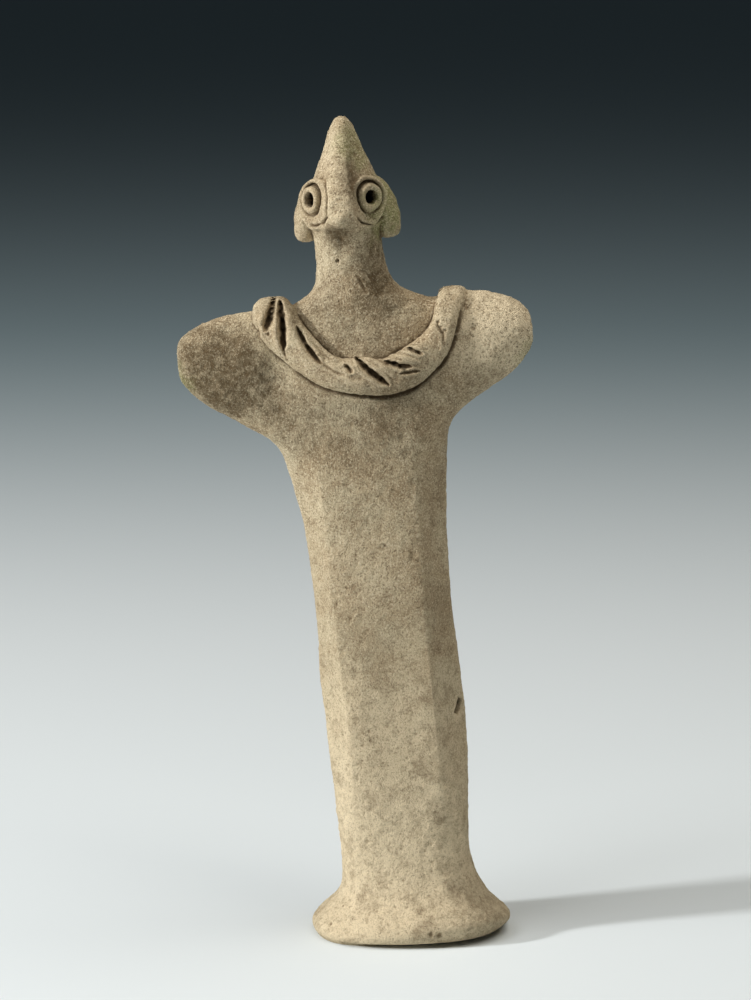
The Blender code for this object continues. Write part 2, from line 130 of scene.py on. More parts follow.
# Tilt of the trunk to the left, tilt that is left in the head, and turn of the face to the left
BODY_LEAN = math.radians(5.6)
HEAD_LEAN = math.radians(3.8)
HEAD_TURN = math.radians(6.0)

# The lean sets in between the first two heights and straightens between the last two, as shares of HEIGHT
LEAN_STARTS = (0.01, 0.10)
LEAN_ENDS = (0.81, 0.86)
LEAN_STEPS = 160
print("figure", HEIGHT / MM, "mm tall")



# %% [markdown]
# The lean
#
# The original was modelled by hand and stands crooked: the foot is level, the trunk leans to the left, and
# the neck straightens a little. Bending each form by itself would be fiddly. It is easier to lay the figure
# out upright and to pass every point through one function, leaned(), which follows a curved axis.

# %% The lean
def ease(value, start, end):
    """0 before start, 1 after end, and a smooth rise between."""
    share = min(max((value - start) / (end - start), 0.0), 1.0)
    return share * share * (3 - 2 * share)


def lean_angle(height):
    rise = ease(height / HEIGHT, *LEAN_STARTS)
    relief = ease(height / HEIGHT, *LEAN_ENDS)
    return BODY_LEAN * rise - (BODY_LEAN - HEAD_LEAN) * relief


def axis_points():
    """The figure's leaning axis, stepped up from the foot and ending at HEIGHT."""
    step = HEIGHT / LEAN_STEPS
    points = [Vector((0, 0, 0))]
    for k in range(LEAN_STEPS):
        angle = lean_angle((k + 0.5) * step)
        points.append(points[-1] + Vector((-math.sin(angle), 0, math.cos(angle))) * step)
    stretch = HEIGHT / points[-1].z
    return [Vector((p.x, 0, p.z * stretch)) for p in points]


AXIS = axis_points()


def leaned(point):
    """An upright point, moved with the leaning axis at its height."""
    steps = min(max(point[2] / HEIGHT, 0.0), 1.0) * LEAN_STEPS
    k = min(int(steps), LEAN_STEPS - 1)
    base = AXIS[k].lerp(AXIS[k + 1], steps - k)
    over = point[2] - min(max(point[2], 0.0), HEIGHT)
    angle = lean_angle(point[2])
    sideways = Vector((math.cos(angle), 0, math.sin(angle)))
    upwards = Vector((-math.sin(angle), 0, math.cos(angle)))
    return base + sideways * point[0] + Vector((0, point[1], 0)) + upwards * over


def turned(point):
    """A point of the head, turned about the figure's axis so that the face looks to the left."""
    x, y, z = point
    cos_turn, sin_turn = math.cos(HEAD_TURN), math.sin(HEAD_TURN)
    return Vector((x * cos_turn + y * sin_turn, y * cos_turn - x * sin_turn, z))


print("axis ends at", [round(c / MM, 1) for c in AXIS[-1]], "mm")



# %% [markdown]
# The body's levels
#
# The body is one skin from foot to headdress, so it is built like a stack of hoops. Each Section is one
# hoop, with its width and depth. A few hoops make a coarse cage, and a Subdivision Surface turns the cage
# into a smooth form. That keeps the shape easy to adjust, since one number moves a whole level.

# %% The body's levels
class Section(NamedTuple):
    """One level of the cage: width and depth are in metres, and height and the two shifts are shares of HEIGHT.

    square goes from 0 for an ellipse towards a box with round corners, and beak from 0 to 1 for the face's
    wedge. lift is the share of RIM_LIFT by which the front right stands up.
    """

    height: float
    width: float
    depth: float
    forward: float = 0.0
    side: float = 0.0
    square: float = 0.0
    beak: float = 0.0
    lift: float = 0.0


# The foot's cage starts below the ground, and the underside is later pressed flat at the ground
FOOT = (
    Section(-0.006, 0.80 * FOOT_WIDTH, 0.78 * FOOT_DEPTH, square=0.3),
    Section(-0.002, 0.95 * FOOT_WIDTH, 0.94 * FOOT_DEPTH, square=0.3, lift=1.0),
    Section(0.008, 1.03 * FOOT_WIDTH, 1.02 * FOOT_DEPTH, square=0.3, lift=1.0),
    Section(0.021, 0.97 * FOOT_WIDTH, 0.98 * FOOT_DEPTH, square=0.2, lift=0.8),
    Section(0.037, 0.81 * FOOT_WIDTH, 0.84 * FOOT_DEPTH, side=-0.001, square=0.2, lift=0.4),
    Section(0.056, 0.69 * FOOT_WIDTH, 0.67 * FOOT_DEPTH, side=0.001, square=0.2),
)
TRUNK = (
    Section(0.092, 0.91 * TRUNK_WIDTH, 0.95 * TRUNK_DEPTH, side=-0.003, square=0.3),
    Section(0.180, 1.00 * TRUNK_WIDTH, 1.02 * TRUNK_DEPTH, 0.001, square=0.65),
    Section(0.280, 1.02 * TRUNK_WIDTH, 1.03 * TRUNK_DEPTH, 0.002, 0.001, square=0.65),
    Section(0.400, 0.99 * TRUNK_WIDTH, 0.99 * TRUNK_DEPTH, 0.001, 0.000, square=0.65),
    Section(0.490, 1.00 * TRUNK_WIDTH, 0.97 * TRUNK_DEPTH, 0.000, 0.001, square=0.65),
    Section(0.560, 1.09 * TRUNK_WIDTH, 0.95 * TRUNK_DEPTH, 0.000, -0.001, square=0.65),
)
CHEST = (
    Section(0.608, 1.20 * TRUNK_WIDTH, 0.93 * TRUNK_DEPTH, 0.001, -0.004, square=0.3),
    Section(0.660, 1.26 * TRUNK_WIDTH, 0.91 * TRUNK_DEPTH, 0.002, -0.002, square=0.3),
    Section(0.715, 1.26 * TRUNK_WIDTH, 0.86 * TRUNK_DEPTH, 0.002, square=0.3),
    Section(0.770, 1.16 * TRUNK_WIDTH, 0.72 * TRUNK_DEPTH, 0.000, square=0.2),
)
NECK = (
    Section(0.790, 1.26 * NECK_WIDTH, 1.12 * NECK_DEPTH, 0.000, 0.003),
    Section(0.808, 1.05 * NECK_WIDTH, 1.00 * NECK_DEPTH, 0.002, 0.002),
    Section(0.842, 0.98 * NECK_WIDTH, 0.98 * NECK_DEPTH, 0.003, 0.001),
    Section(0.864, 1.00 * NECK_WIDTH, 1.04 * NECK_DEPTH, 0.005, 0.000, beak=0.2),
)
HEAD = (
    Section(0.8735, 0.98 * HEAD_WIDTH, 1.00 * HEAD_DEPTH, 0.016, beak=1.0),
    Section(0.898, 1.00 * HEAD_WIDTH, 1.00 * HEAD_DEPTH, 0.014, beak=1.0),
    Section(0.926, 0.80 * HEAD_WIDTH, 0.85 * HEAD_DEPTH, 0.009, 0.001, beak=1.0),
    Section(0.955, 0.55 * HEAD_WIDTH, 0.60 * HEAD_DEPTH, 0.003, 0.001, beak=0.9),
    Section(0.982, 0.38 * HEAD_WIDTH, 0.41 * HEAD_DEPTH, -0.002, 0.001, beak=0.6),
    Section(1.0005, 0.16 * HEAD_WIDTH, 0.18 * HEAD_DEPTH, -0.004, 0.001, beak=0.2),
)
CHEST_START = len(FOOT) + len(TRUNK)
ROWS = len(CHEST)
CHEST_SIDE = max(section.width for section in CHEST) / 2


# Half of the head's plan outline, from the nose ridge round to the back, as shares of its half width
# and half depth
BEAK_OUTLINE = (
    (0.00, -1.03), (0.38, -1.01), (0.58, -0.45), (0.98, -0.05), (1.00, 0.52), (0.58, 0.96), (0.00, 1.04),
)


RING = 12


def spread(count):
    """How much larger a cage ring is than the smooth ring that it gives."""
    return 3 / (2 + math.cos(2 * math.pi / count))


def plan_outline(square, beak):
    """RING points on a unit plan outline from the front round by the right: ellipse, rounded box or beaked."""
    power = 2 / (2 + 2 * square)
    for k in range(RING):
        angle = 2 * math.pi * k / RING
        round_x = math.copysign(abs(math.sin(angle)) ** power, math.sin(angle))
        round_y = -math.copysign(abs(math.cos(angle)) ** power, math.cos(angle))
        mirrored = k > RING // 2
        beak_x, beak_y = BEAK_OUTLINE[RING - k if mirrored else k]
        if mirrored:
            beak_x = -beak_x
        yield round_x * (1 - beak) + beak_x * beak, round_y * (1 - beak) + beak_y * beak


def section_points(section):
    """The cage points of one section."""
    grow = spread(RING)
    for x, y in plan_outline(section.square, section.beak):
        facing = max(0.0, (x - y) / math.sqrt(2))
        height = section.height * HEIGHT + section.lift * RIM_LIFT * facing * facing
        point = (
            x * grow * section.width / 2 + section.side * HEIGHT,
            y * grow * section.depth / 2 - section.forward * HEIGHT,
            height,
        )
        yield turned(point) if section.beak else Vector(point)


def skin_rings(bm, rings):
    """Quads between rings of points, with the first and last ring capped."""
    loops = [[bm.verts.new(leaned(p)) for p in ring] for ring in rings]
    bands = []
    for low, high in zip(loops, loops[1:]):
        count = len(low)
        bands.append([
            bm.faces.new((low[k], low[(k + 1) % count], high[(k + 1) % count], high[k])) for k in range(count)
        ])
    bm.faces.new(reversed(loops[0]))
    bm.faces.new(loops[-1])
    return loops, bands



# %% [markdown]
# The arms
#
# The stub arms are flat paddles that grow out of the chest. They aren't separate lumps on the original, and
# the armpits flow into the trunk. So they are extruded from the chest's own side faces, ring by ring, which
# gives that flow for nothing.

# %% The arms
class ArmRing(NamedTuple):
    """One ring of an arm: reach runs from 0 at the chest's side to 1 at the tip. Heights are shares of HEIGHT.
    """

    reach: float
    low: float
    top: float
    thickness: float


ARM = (
    ArmRing(0.06, 0.630, 0.782, 1.00 * ARM_THICKNESS),
    ArmRing(0.40, 0.655, 0.781, 0.96 * ARM_THICKNESS),
    ArmRing(0.74, 0.678, 0.770, 0.84 * ARM_THICKNESS),
    ArmRing(0.93, 0.704, 0.751, 0.54 * ARM_THICKNESS),
)
ARM_TIP_CROWN = 0.0036
ARM_FORWARD = 0.001 * HEIGHT
ARM_SIDE = -0.004 * HEIGHT
# How much lower the left arm's underside runs at its root than the right arm's
LEFT_ARMPIT_DROP = 0.009


def arm_place(ring, side, across, along):
    """A point of an arm's ring, from its place in the square patch that the arm grows from.

    Points inside the ring crown outwards, which rounds the last ring into the arm's tip.
    """
    crown = ARM_TIP_CROWN * (1 - across * across) * (1 - along * along)
    disc_across = across * math.sqrt(1 - along * along / 2)
    disc_along = along * math.sqrt(1 - across * across / 2)
    grow = spread(2 * ROWS + 2)
    low = ring.low - (LEFT_ARMPIT_DROP * (1 - ring.reach) if side < 0 else 0.0)
    middle = (low + ring.top) / 2
    half_height = (ring.top - low) / 2 * HEIGHT * grow
    return Vector((
        side * (CHEST_SIDE + ring.reach * (ARM_SPAN / 2 - CHEST_SIDE) + crown) + ARM_SIDE,
        disc_across * grow * ring.thickness / 2 - ARM_FORWARD,
        middle * HEIGHT + disc_along * half_height,
    ))


def grow_arm(bm, loops, bands, side):
    """Extrudes the chest's side faces into a flat stub arm that narrows to a round end."""
    column = RING // 4 if side > 0 else 3 * RING // 4
    ring_rows = range(CHEST_START, CHEST_START + ROWS)
    patch = [bands[row][k] for row in ring_rows[:-1] for k in (column - 1, column)]
    places = {}
    for row in ring_rows:
        for step in (-1, 0, 1):
            along = 2 * (row - CHEST_START) / (ROWS - 1) - 1
            places[loops[row][column + step]] = (step * side, along)
    for ring in ARM:
        before = dict(places)
        extruded = bmesh.ops.extrude_face_region(bm, geom=patch)["geom"]
        bmesh.ops.delete(bm, geom=patch, context="FACES")
        new_points = [g for g in extruded if isinstance(g, bmesh.types.BMVert)]
        patch = [g for g in extruded if isinstance(g, bmesh.types.BMFace)]
        places = {}
        for point in new_points:
            twin = min((v for v in before if v.is_valid), key=lambda v: (v.co - point.co).length)
            places[point] = before[twin]
        for point, (across, along) in places.items():
            point.co = leaned(arm_place(ring, side, across, along))


# %% [markdown]
# Cage to smooth mesh
#
# A cage becomes a smooth mesh when its Subdivision Surface is worked in. The depsgraph holds the worked-in result,
# and new_from_object copies it out, so no operator and no selection is needed.

# %% Cage to smooth mesh
BODY_SMOOTHING = 4
LOBE_SMOOTHING = 3
RAY = 0.05


def object_from(name, bm):
    bmesh.ops.delete(bm, geom=[v for v in bm.verts if not v.link_faces], context="VERTS")
    bmesh.ops.recalc_face_normals(bm, faces=bm.faces)
    mesh = bpy.data.meshes.new(name)
    bm.to_mesh(mesh)
    bm.free()
    mesh.shade_smooth()
    obj = bpy.data.objects.new(name, mesh)
    bpy.context.collection.objects.link(obj)
    return obj


def smooth_cage(obj, levels):
    modifier = obj.modifiers.new("smooth", "SUBSURF")
    modifier.levels = levels
    modifier.render_levels = levels


def work_in(obj):
    """Replaces an object's mesh by what its modifiers make of it."""
    bpy.context.view_layer.update()
    made = bpy.data.meshes.new_from_object(obj.evaluated_get(bpy.context.evaluated_depsgraph_get()))
    obj.modifiers.clear()
    obj.data = made
    return obj


def surface_of(obj):
    """The smoothed surface of an object, to cast rays at."""
    bpy.context.view_layer.update()
    return BVHTree.FromObject(obj, bpy.context.evaluated_depsgraph_get())


def make_body():
    """The foot, trunk, arms, neck and head as one cage, smoothed."""
    bm = bmesh.new()
    loops, bands = skin_rings(bm, [list(section_points(s)) for s in FOOT + TRUNK + CHEST + NECK + HEAD])
    for side in (-1, 1):
        grow_arm(bm, loops, bands, side)
    body = object_from("body", bm)
    smooth_cage(body, BODY_SMOOTHING)
    return work_in(body)


body = make_body()
skin = surface_of(body)
print("body", len(body.data.polygons), "faces")


# %% [markdown]
# Cheek lobes
#
# A flat tongue of clay hangs behind each eye. It is a small stack of hoops of its own, sunk a little into the head
# so that the two melt together later.

# %% Cheek lobes
# Cheek lobes behind the eyes, bottom to top: height as a share of HEIGHT, reach as a share of HEAD_WIDTH,
# width as a share of LOBE_WIDTH and depth as a share of LOBE_DEPTH
LOBE = (
    (0.852, 0.52, 0.60, 0.50), (0.858, 0.53, 1.05, 0.90), (0.880, 0.52, 1.15, 1.05),
    (0.904, 0.46, 1.05, 1.00), (0.927, 0.36, 0.60, 0.70),
)
LOBE_RING = 8
LOBE_BACK = 0.010 * HEIGHT


def make_lobe(side):
    """A flat lobe of clay that hangs behind an eye."""
    bm = bmesh.new()
    grow = spread(LOBE_RING)
    rings = []
    for height, reach, width, depth in LOBE:
        ring = []
        for k in range(LOBE_RING):
            angle = 2 * math.pi * k / LOBE_RING
            ring.append(turned((
                side * reach * HEAD_WIDTH + grow * width * LOBE_WIDTH / 2 * math.cos(angle),
                LOBE_BACK + grow * depth * LOBE_DEPTH / 2 * math.sin(angle),
                height * HEIGHT,
            )))
        rings.append(ring)
    skin_rings(bm, rings)
    lobe = object_from(f"lobe_{'left' if side < 0 else 'right'}", bm)
    smooth_cage(lobe, LOBE_SMOOTHING)
    return lobe


lobes = [work_in(make_lobe(side)) for side in (-1, 1)]
print("lobes", [len(lobe.data.polygons) for lobe in lobes], "faces")


# %% [markdown]
# Eyes
#
# Each eye is a pad of clay that sagged while it was wet, with a pellet on it and a hole punched in the pellet. A
# turned profile, as on a lathe, gives all of that in one go. The points of the profile are joined by a smooth
# curve, and the rings outside the pellet are stretched downwards for the sag.

# %% Eyes
class Eye(NamedTuple):
    """One eye in the head's own turned frame: place of its centre, and the way it faces from straight ahead.

    The pellet and its pad are pellet_width and pad_width times as wide as they are tall, and the pad lies
    pad_shift to the right of the pellet.
    """

    side: float
    front: float
    height: float
    facing: float
    pellet_width: float
    pad_width: float
    pad_shift: float


EYES = {
    "left": Eye(-0.033 * HEIGHT, 0.033 * HEIGHT, 0.905 * HEIGHT, math.radians(-41), 0.88, 1.10, 0.0005),
    "right": Eye(0.033 * HEIGHT, 0.036 * HEIGHT, 0.905 * HEIGHT, math.radians(40), 0.97, 1.04, -0.0002),
}


# Half section of an eye from its buried rim to the bottom of its pupil: radius as a share of EYE_RADIUS, height
EYE_PROFILE = (
    (1.10, -0.0024), (1.28, -0.0008), (1.35, 0.0003), (1.30, 0.0010), (1.19, 0.0013), (1.08, 0.0012),
    (1.00, 0.0010), (0.93, 0.0012), (0.85, 0.0016), (0.72, 0.0018), (0.56, 0.0018), (0.48, 0.0014),
    (0.44, 0.0002), (0.42, -0.0014), (0.28, -0.0024), (0.04, -0.0024),
)
PELLET_EDGE = 1.0
PROFILE_STEPS = 5
EYE_SEGMENTS = 72
PAD_DROP = 0.46
# How much lower the pad stands at its top than at its bottom
PAD_CALM = 0.45
PUPIL_CUT = 0.0060


def between(points, share):
    """A smooth curve through the points, read at a share of its way along them."""
    steps = share * (len(points) - 1)
    k = min(int(steps), len(points) - 2)
    t = steps - k
    before, start, end, after = (points[min(max(k + d, 0), len(points) - 1)] for d in (-1, 0, 1, 2))
    values = []
    for a, b, c, d in zip(before, start, end, after):
        values.append(b + 0.5 * t * (c - a + t * (2 * a - 5 * b + 4 * c - d + t * (3 * (b - c) + d - a))))
    return values


def eased_along(values):
    """Each value of a list of vectors, averaged with its neighbours."""
    last = len(values) - 1
    return [(values[max(k - 1, 0)] + values[k] * 2 + values[min(k + 1, last)]) / 4 for k in range(len(values))]


def eye_frame(eye, surface):
    """Where an eye's centre meets the head, and the directions outwards, sideways and up there."""
    inside = turned((eye.side, -eye.front, eye.height))
    facing = eye.facing - HEAD_TURN
    outwards = Vector((math.sin(facing), -math.cos(facing), 0))
    centre = leaned(inside)
    hit = surface.ray_cast(centre + outwards * RAY, -outwards)[0]
    return hit, outwards, Vector((-outwards.y, outwards.x, 0)), Vector((0, 0, 1))


def eye_rings(eye, frame):
    """Rings of the turned profile on the eye's frame. The rings outside the pellet sag."""
    centre, outwards, sideways, upwards = frame
    count = (len(EYE_PROFILE) - 1) * PROFILE_STEPS
    for step in range(count + 1):
        share, height = between(EYE_PROFILE, step / count)
        outside = ease(share, PELLET_EDGE - 0.08, PELLET_EDGE + 0.12)
        wide = eye.pellet_width + (eye.pad_width - eye.pellet_width) * outside
        ring = []
        for k in range(EYE_SEGMENTS):
            angle = 2 * math.pi * k / EYE_SEGMENTS
            down = PAD_DROP * max(0.0, -math.sin(angle)) * outside
            along = share * EYE_RADIUS * math.sin(angle) * (1 + down)
            across = share * EYE_RADIUS * math.cos(angle) * wide + eye.pad_shift * outside
            proud = height * (1 - PAD_CALM * max(0.0, math.sin(angle)) * outside) if height > 0 else height
            ring.append(centre + outwards * proud + sideways * across + upwards * along)
        yield ring


def skin_world_rings(bm, rings):
    loops = [[bm.verts.new(p) for p in ring] for ring in rings]
    for low, high in zip(loops, loops[1:]):
        count = len(low)
        for k in range(count):
            bm.faces.new((low[k], low[(k + 1) % count], high[(k + 1) % count], high[k]))
    bm.faces.new(reversed(loops[0]))
    bm.faces.new(loops[-1])


def make_eye(name, eye):
    frame = eye_frame(eye, skin)
    bm = bmesh.new()
    skin_world_rings(bm, list(eye_rings(eye, frame)))
    return object_from(f"eye_{name}", bm)


def punch(name, eye):
    """A rod through the pupil's place that clears the head out from under the hole."""
    centre, outwards, _, _ = eye_frame(eye, skin)
    bm = bmesh.new()
    turn = outwards.to_track_quat("Z", "Y").to_matrix().to_4x4()
    bmesh.ops.create_cone(bm, cap_ends=True, segments=24, radius1=PUPIL_RADIUS, radius2=PUPIL_RADIUS, depth=PUPIL_CUT)
    turn.translation = centre + outwards * (PUPIL_CUT / 2 - PUPIL_DEPTH)
    bmesh.ops.transform(bm, matrix=turn, verts=bm.verts)
    return object_from(f"punch_{name}", bm)


eyes = [make_eye(name, eye) for name, eye in EYES.items()]
for name, eye in EYES.items():
    rod = punch(name, eye)
    modifier = body.modifiers.new("punch", "BOOLEAN")
    modifier.operation = "DIFFERENCE"
    modifier.object = rod
    work_in(body)
    bpy.data.objects.remove(rod)
print("eyes", [len(eye.data.polygons) for eye in eyes], "faces, body", len(body.data.polygons))


# %% [markdown]
# Necklace
#
# The necklace is a strip of clay that was laid over the shoulders and pressed on. A short list of guides says
# where it runs. It is laid out coarsely on the body by casting rays, and then read off finely. The cuts that
# make it look twisted come later, because melting would fill them.

# %% Necklace
class Guide(NamedTuple):
    """A point of the necklace: place in front view as shares of half ARM_SPAN and HEIGHT, bearing and width.

    A bearing of 0 degrees meets the body from the front, 90 from above and 180 from behind. Width and thickness
    are shares of BAND_WIDTH and BAND_THICKNESS.
    """

    side: float
    height: float
    bearing: float
    width: float
    thickness: float


NECKLACE = (
    Guide(-0.45, 0.725, 180, 0.85, 0.6),
    Guide(-0.45, 0.745, 140, 0.95, 0.8),
    Guide(-0.45, 0.745, 90, 1.00, 1.0),
    Guide(-0.445, 0.752, 50, 1.05, 1.1),
    Guide(-0.43, 0.765, 14, 1.11, 1.1),
    Guide(-0.388, 0.756, 0, 1.12, 1.05),
    Guide(-0.297, 0.730, 0, 0.98, 1.0),
    Guide(-0.169, 0.705, 0, 0.82, 1.0),
    Guide(-0.026, 0.696, 0, 0.90, 1.0),
    Guide(0.146, 0.692, 0, 0.97, 1.0),
    Guide(0.277, 0.701, 0, 1.03, 1.0),
    Guide(0.409, 0.721, 0, 0.84, 0.95),
    Guide(0.474, 0.744, 0, 0.68, 0.85),
    Guide(0.503, 0.760, 10, 0.68, 0.7),
    Guide(0.515, 0.750, 48, 0.70, 0.5),
    Guide(0.52, 0.745, 90, 0.70, 0.4),
    Guide(0.53, 0.745, 140, 0.68, 0.4),
    Guide(0.53, 0.725, 180, 0.60, 0.4),
)
COARSE_STEPS = 5
FINE_STEPS = 26
BAND_ACROSS = 33
BAND_SINK = 0.0012
BAND_ROUNDING = 0.94
BAND_FULLNESS = 3.6
BAND_SWELL = 1.25
BAND_BURIED = 0.83
BEND_LIMIT = 0.75


def free_reach(centres, sideways, k, side):
    """How far the band can reach to one side at a point before its edge would fold over in the bend."""
    before, after = max(k - 1, 0), min(k + 1, len(centres) - 1)
    forwards = centres[after] - centres[before]
    pull = -side * (sideways[after] - sideways[before]).dot(forwards.normalized())
    return BEND_LIMIT * forwards.length / pull if pull > 0 else math.inf


def stations():
    """The necklace on the body as rows: centre, way outwards, way sideways, two reaches and thickness."""
    count = (len(NECKLACE) - 1) * COARSE_STEPS
    centres, directions, widths, thicknesses = [], [], [], []
    for k in range(count + 1):
        side, height, bearing, width, thickness = between(NECKLACE, k / count)
        turn = math.radians(bearing)
        outwards = Vector((0, -math.cos(turn), math.sin(turn)))
        inside = leaned((side * ARM_SPAN / 2, 0, height * HEIGHT))
        hit, normal = skin.ray_cast(inside + outwards * RAY, -outwards)[:2]
        centres.append(hit)
        directions.append((outwards + normal).normalized())
        widths.append(width * BAND_WIDTH)
        thicknesses.append(thickness * BAND_THICKNESS)
    directions = [way.normalized() for way in eased_along(eased_along(directions))]
    centres = eased_along(centres)
    sideways = []
    for k, outwards in enumerate(directions):
        forwards = centres[min(k + 1, count)] - centres[max(k - 1, 0)]
        sideways.append(forwards.cross(outwards).normalized())
    sideways = [way.normalized() for way in eased_along(eased_along(sideways))]
    reaches = []
    for side in (-1, 1):
        limited = [min(widths[k] / 2, free_reach(centres, sideways, k, side)) for k in range(count + 1)]
        reaches.append(eased_along(limited))
    return [(*c, *o, *s, low, high, t) for c, o, s, low, high, t in zip(
        centres, directions, sideways, *reaches, thicknesses)]


def smoothstep(values, start, end):
    share = np.clip((values - start) / (end - start), 0.0, 1.0)
    return share * share * (3 - 2 * share)


LINE = stations()


def band_edges(steps):
    """Points along both edges of the necklace, each with its share of the way and whether it is on the lower edge."""
    for k in range(steps + 1):
        row = between(LINE, k / steps)
        centre, sideways = Vector(row[0:3]), Vector(row[6:9])
        yield centre - sideways * row[9], k / steps, False
        yield centre + sideways * row[10], k / steps, True


def make_necklace():
    count = (len(NECKLACE) - 1) * FINE_STEPS
    shares = np.linspace(-1, 1, BAND_ACROSS)
    rings = []
    for k in range(count + 1):
        row = np.array(between(LINE, k / count))
        centre, outwards, sideways = row[0:3], row[3:6], row[6:9]
        low, high, thickness = row[9:12]
        reach = np.where(shares > 0, high, low) * shares
        top = thickness * BAND_SWELL * np.sqrt(1 - BAND_ROUNDING * np.abs(shares) ** BAND_FULLNESS)
        places = centre + sideways * reach[:, None]
        upper = places + outwards * top[:, None]
        under = [centre + sideways * s * BAND_BURIED * (high if s > 0 else low) - outwards * BAND_SINK for s in (1, 0, -1)]
        rings.append([Vector(p) for p in upper] + [Vector(p) for p in under])
    bm = bmesh.new()
    skin_world_rings(bm, rings)
    return object_from("necklace", bm)


necklace = make_necklace()
print("necklace", len(necklace.data.polygons), "faces")


# %% [markdown]
# One skin
#
# Wet clay melts together where it is pressed. A voxel Remesh does the same: it fills the overlapping forms with tiny
# cubes and wraps one even skin round them. A few rounds of Smooth then soften the joins like a wet finger.

# %% One skin
VOXEL = 0.00021
SOFTENING = 4


def melt(name, forms):
    bm = bmesh.new()
    for form in forms:
        bm.from_mesh(form.data)
        bpy.data.objects.remove(form)
    clay = object_from(name, bm)
    remesh = clay.modifiers.new("melt", "REMESH")
    remesh.mode = "VOXEL"
    remesh.voxel_size = VOXEL
    soften = clay.modifiers.new("soften", "SMOOTH")
    soften.factor = 0.5
    soften.iterations = SOFTENING
    return work_in(clay)


figurine = melt("figurine", [body, *lobes, *eyes, necklace])
print("one skin", len(figurine.data.vertices), "points")


# %% [markdown]
# Points and noise
#
# The rest of the modelling moves points, so the mesh is read into numpy arrays. Lumps come from value noise: random
# numbers on a grid of cubes, blended smoothly inside each cube. The numbers come from a fixed seed, so the figurine
# is the same each time.

# %% Points and noise
TABLE = np.random.default_rng(17).uniform(-1, 1, 4096)


def read(mesh, what, width=3):
    values = np.empty(len(mesh.vertices) * width, dtype=np.float32)
    mesh.vertices.foreach_get(what, values)
    return values.reshape(-1, width).astype(np.float64)


def write(mesh, points):
    mesh.vertices.foreach_set("co", points.astype(np.float32).ravel())
    mesh.update()


def lumps(points, size, seed):
    """Smooth noise from -1 to 1 whose lumps are about size across."""
    grid = points / size + seed * 17.31
    cell = np.floor(grid).astype(np.int64)
    share = grid - cell
    blend = share ** 3 * (share * (share * 6 - 15) + 10)
    total = np.zeros(len(points))
    for corner in itertools.product((0, 1), repeat=3):
        x, y, z = (cell + corner).T
        key = (x * 73856093) ^ (y * 19349663) ^ (z * 83492791)
        weight = np.prod(np.where(corner, blend, 1 - blend), axis=1)
        total += TABLE[key & 4095] * weight
    return total


points = read(figurine.data, "co")
print("noise range", round(float(lumps(points[:2000], 3 * MM, 1).min()), 2), "to",
      round(float(lumps(points[:2000], 3 * MM, 1).max()), 2))


# %% [markdown]
# Lumps and the grain of the skin
#
# Fingers leave broad soft lumps, and coarse sandy clay leaves small ones. Each layer has a size and a height. The
# eyes and the necklace were pressed on last and are smoother, but only the eyes take less here. The underside
# stays flat.

# %% Lumps and the grain of the skin
LAYERS = ((13.0, 0.22), (6.0, 0.14), (2.6, 0.075), (1.2, 0.060), (0.70, 0.060), (0.45, 0.036))
FLAT_BELOW = 0.0009
EYE_CALM = 0.75


def near(points, centre, radius):
    """1 at a centre, falling smoothly to 0 at a radius."""
    return 1 - smoothstep(np.linalg.norm(points - np.array(centre), axis=1), 0.35 * radius, radius)


def add_lumps(points, normals):
    raised = sum(height * MM * lumps(points, size * MM, seed) for seed, (size, height) in enumerate(LAYERS))
    calm = np.zeros(len(points))
    for eye in EYES.values():
        calm = np.maximum(calm, near(points, eye_frame(eye, skin)[0], 2.0 * EYE_RADIUS))
    raised *= (1 - EYE_CALM * calm) * smoothstep(points[:, 2], FLAT_BELOW, 3 * FLAT_BELOW)
    return points + normals * raised[:, None]


points = add_lumps(points, read(figurine.data, "normal"))
write(figurine.data, points)
print("lumps stand up to", max(height for _, height in LAYERS), "mm")


# %% [markdown]
# Pits, grains and marks
#
# Burned-out straw, lost grit and knocks leave pits. Grains that were not lost stand proud. Each one is a small
# dent or bump around a random point, found with a k-d tree. A few marks that give this figurine its face are
# put where they are on the original: the pit on the throat, the chips on the foot's rim and the gash in the trunk.

# %% Pits, grains and marks
class Scatter(NamedTuple):
    """Random dents, or bumps where the depths are negative. Sizes are in millimetres."""

    count: int
    radius: tuple
    depth: tuple


SCATTERS = (
    Scatter(2400, (0.30, 0.50), (0.03, 0.09)),
    Scatter(150, (0.50, 0.90), (0.08, 0.18)),
    Scatter(24, (0.90, 1.50), (0.12, 0.26)),
    Scatter(3600, (0.30, 0.46), (-0.08, -0.03)),
)
# Marks of the original: X and Z in millimetres seen from the front, radius and depth. Grains stand proud.
MARKS = (
    (-14.2, 132.9, 0.55, 0.55), (4.8, 121.5, 0.55, 0.40), (5.4, 120.6, 0.50, 0.35), (6.2, 119.9, 0.45, 0.35),
    (-19.0, 115.9, 0.40, 0.30), (-13.0, 113.2, 0.45, 0.35), (-12.6, 70.3, 0.50, 0.22),
    (-5.6, 110.5, 0.50, -0.55), (-6.5, 111.1, 0.42, -0.40), (-18.1, 115.5, 0.50, -0.60), (-20.3, 118.0, 0.42, -0.40),
    (-24.1, 114.6, 0.60, -0.35), (-14.6, 142.6, 0.55, 0.20), (-13.6, 142.4, 0.50, 0.16),
    (-13.9, 141.0, 2.40, -0.70), (-15.2, 138.2, 1.80, 0.35), (-13.4, 137.9, 2.10, 0.55), (-11.7, 138.2, 1.70, 0.35),
    (-13.4, 135.9, 2.60, 0.30),
    (3.6, 3.1, 0.90, 0.45), (5.4, 2.9, 1.00, 0.55), (-15.8, 3.4, 0.60, 0.35), (-13.4, 6.4, 0.45, 0.25),
)


class Cut(NamedTuple):
    """A cut of the modeller's stick: its path as X and Z, its half width and its depth, all in millimetres."""

    path: tuple
    width: float
    depth: float


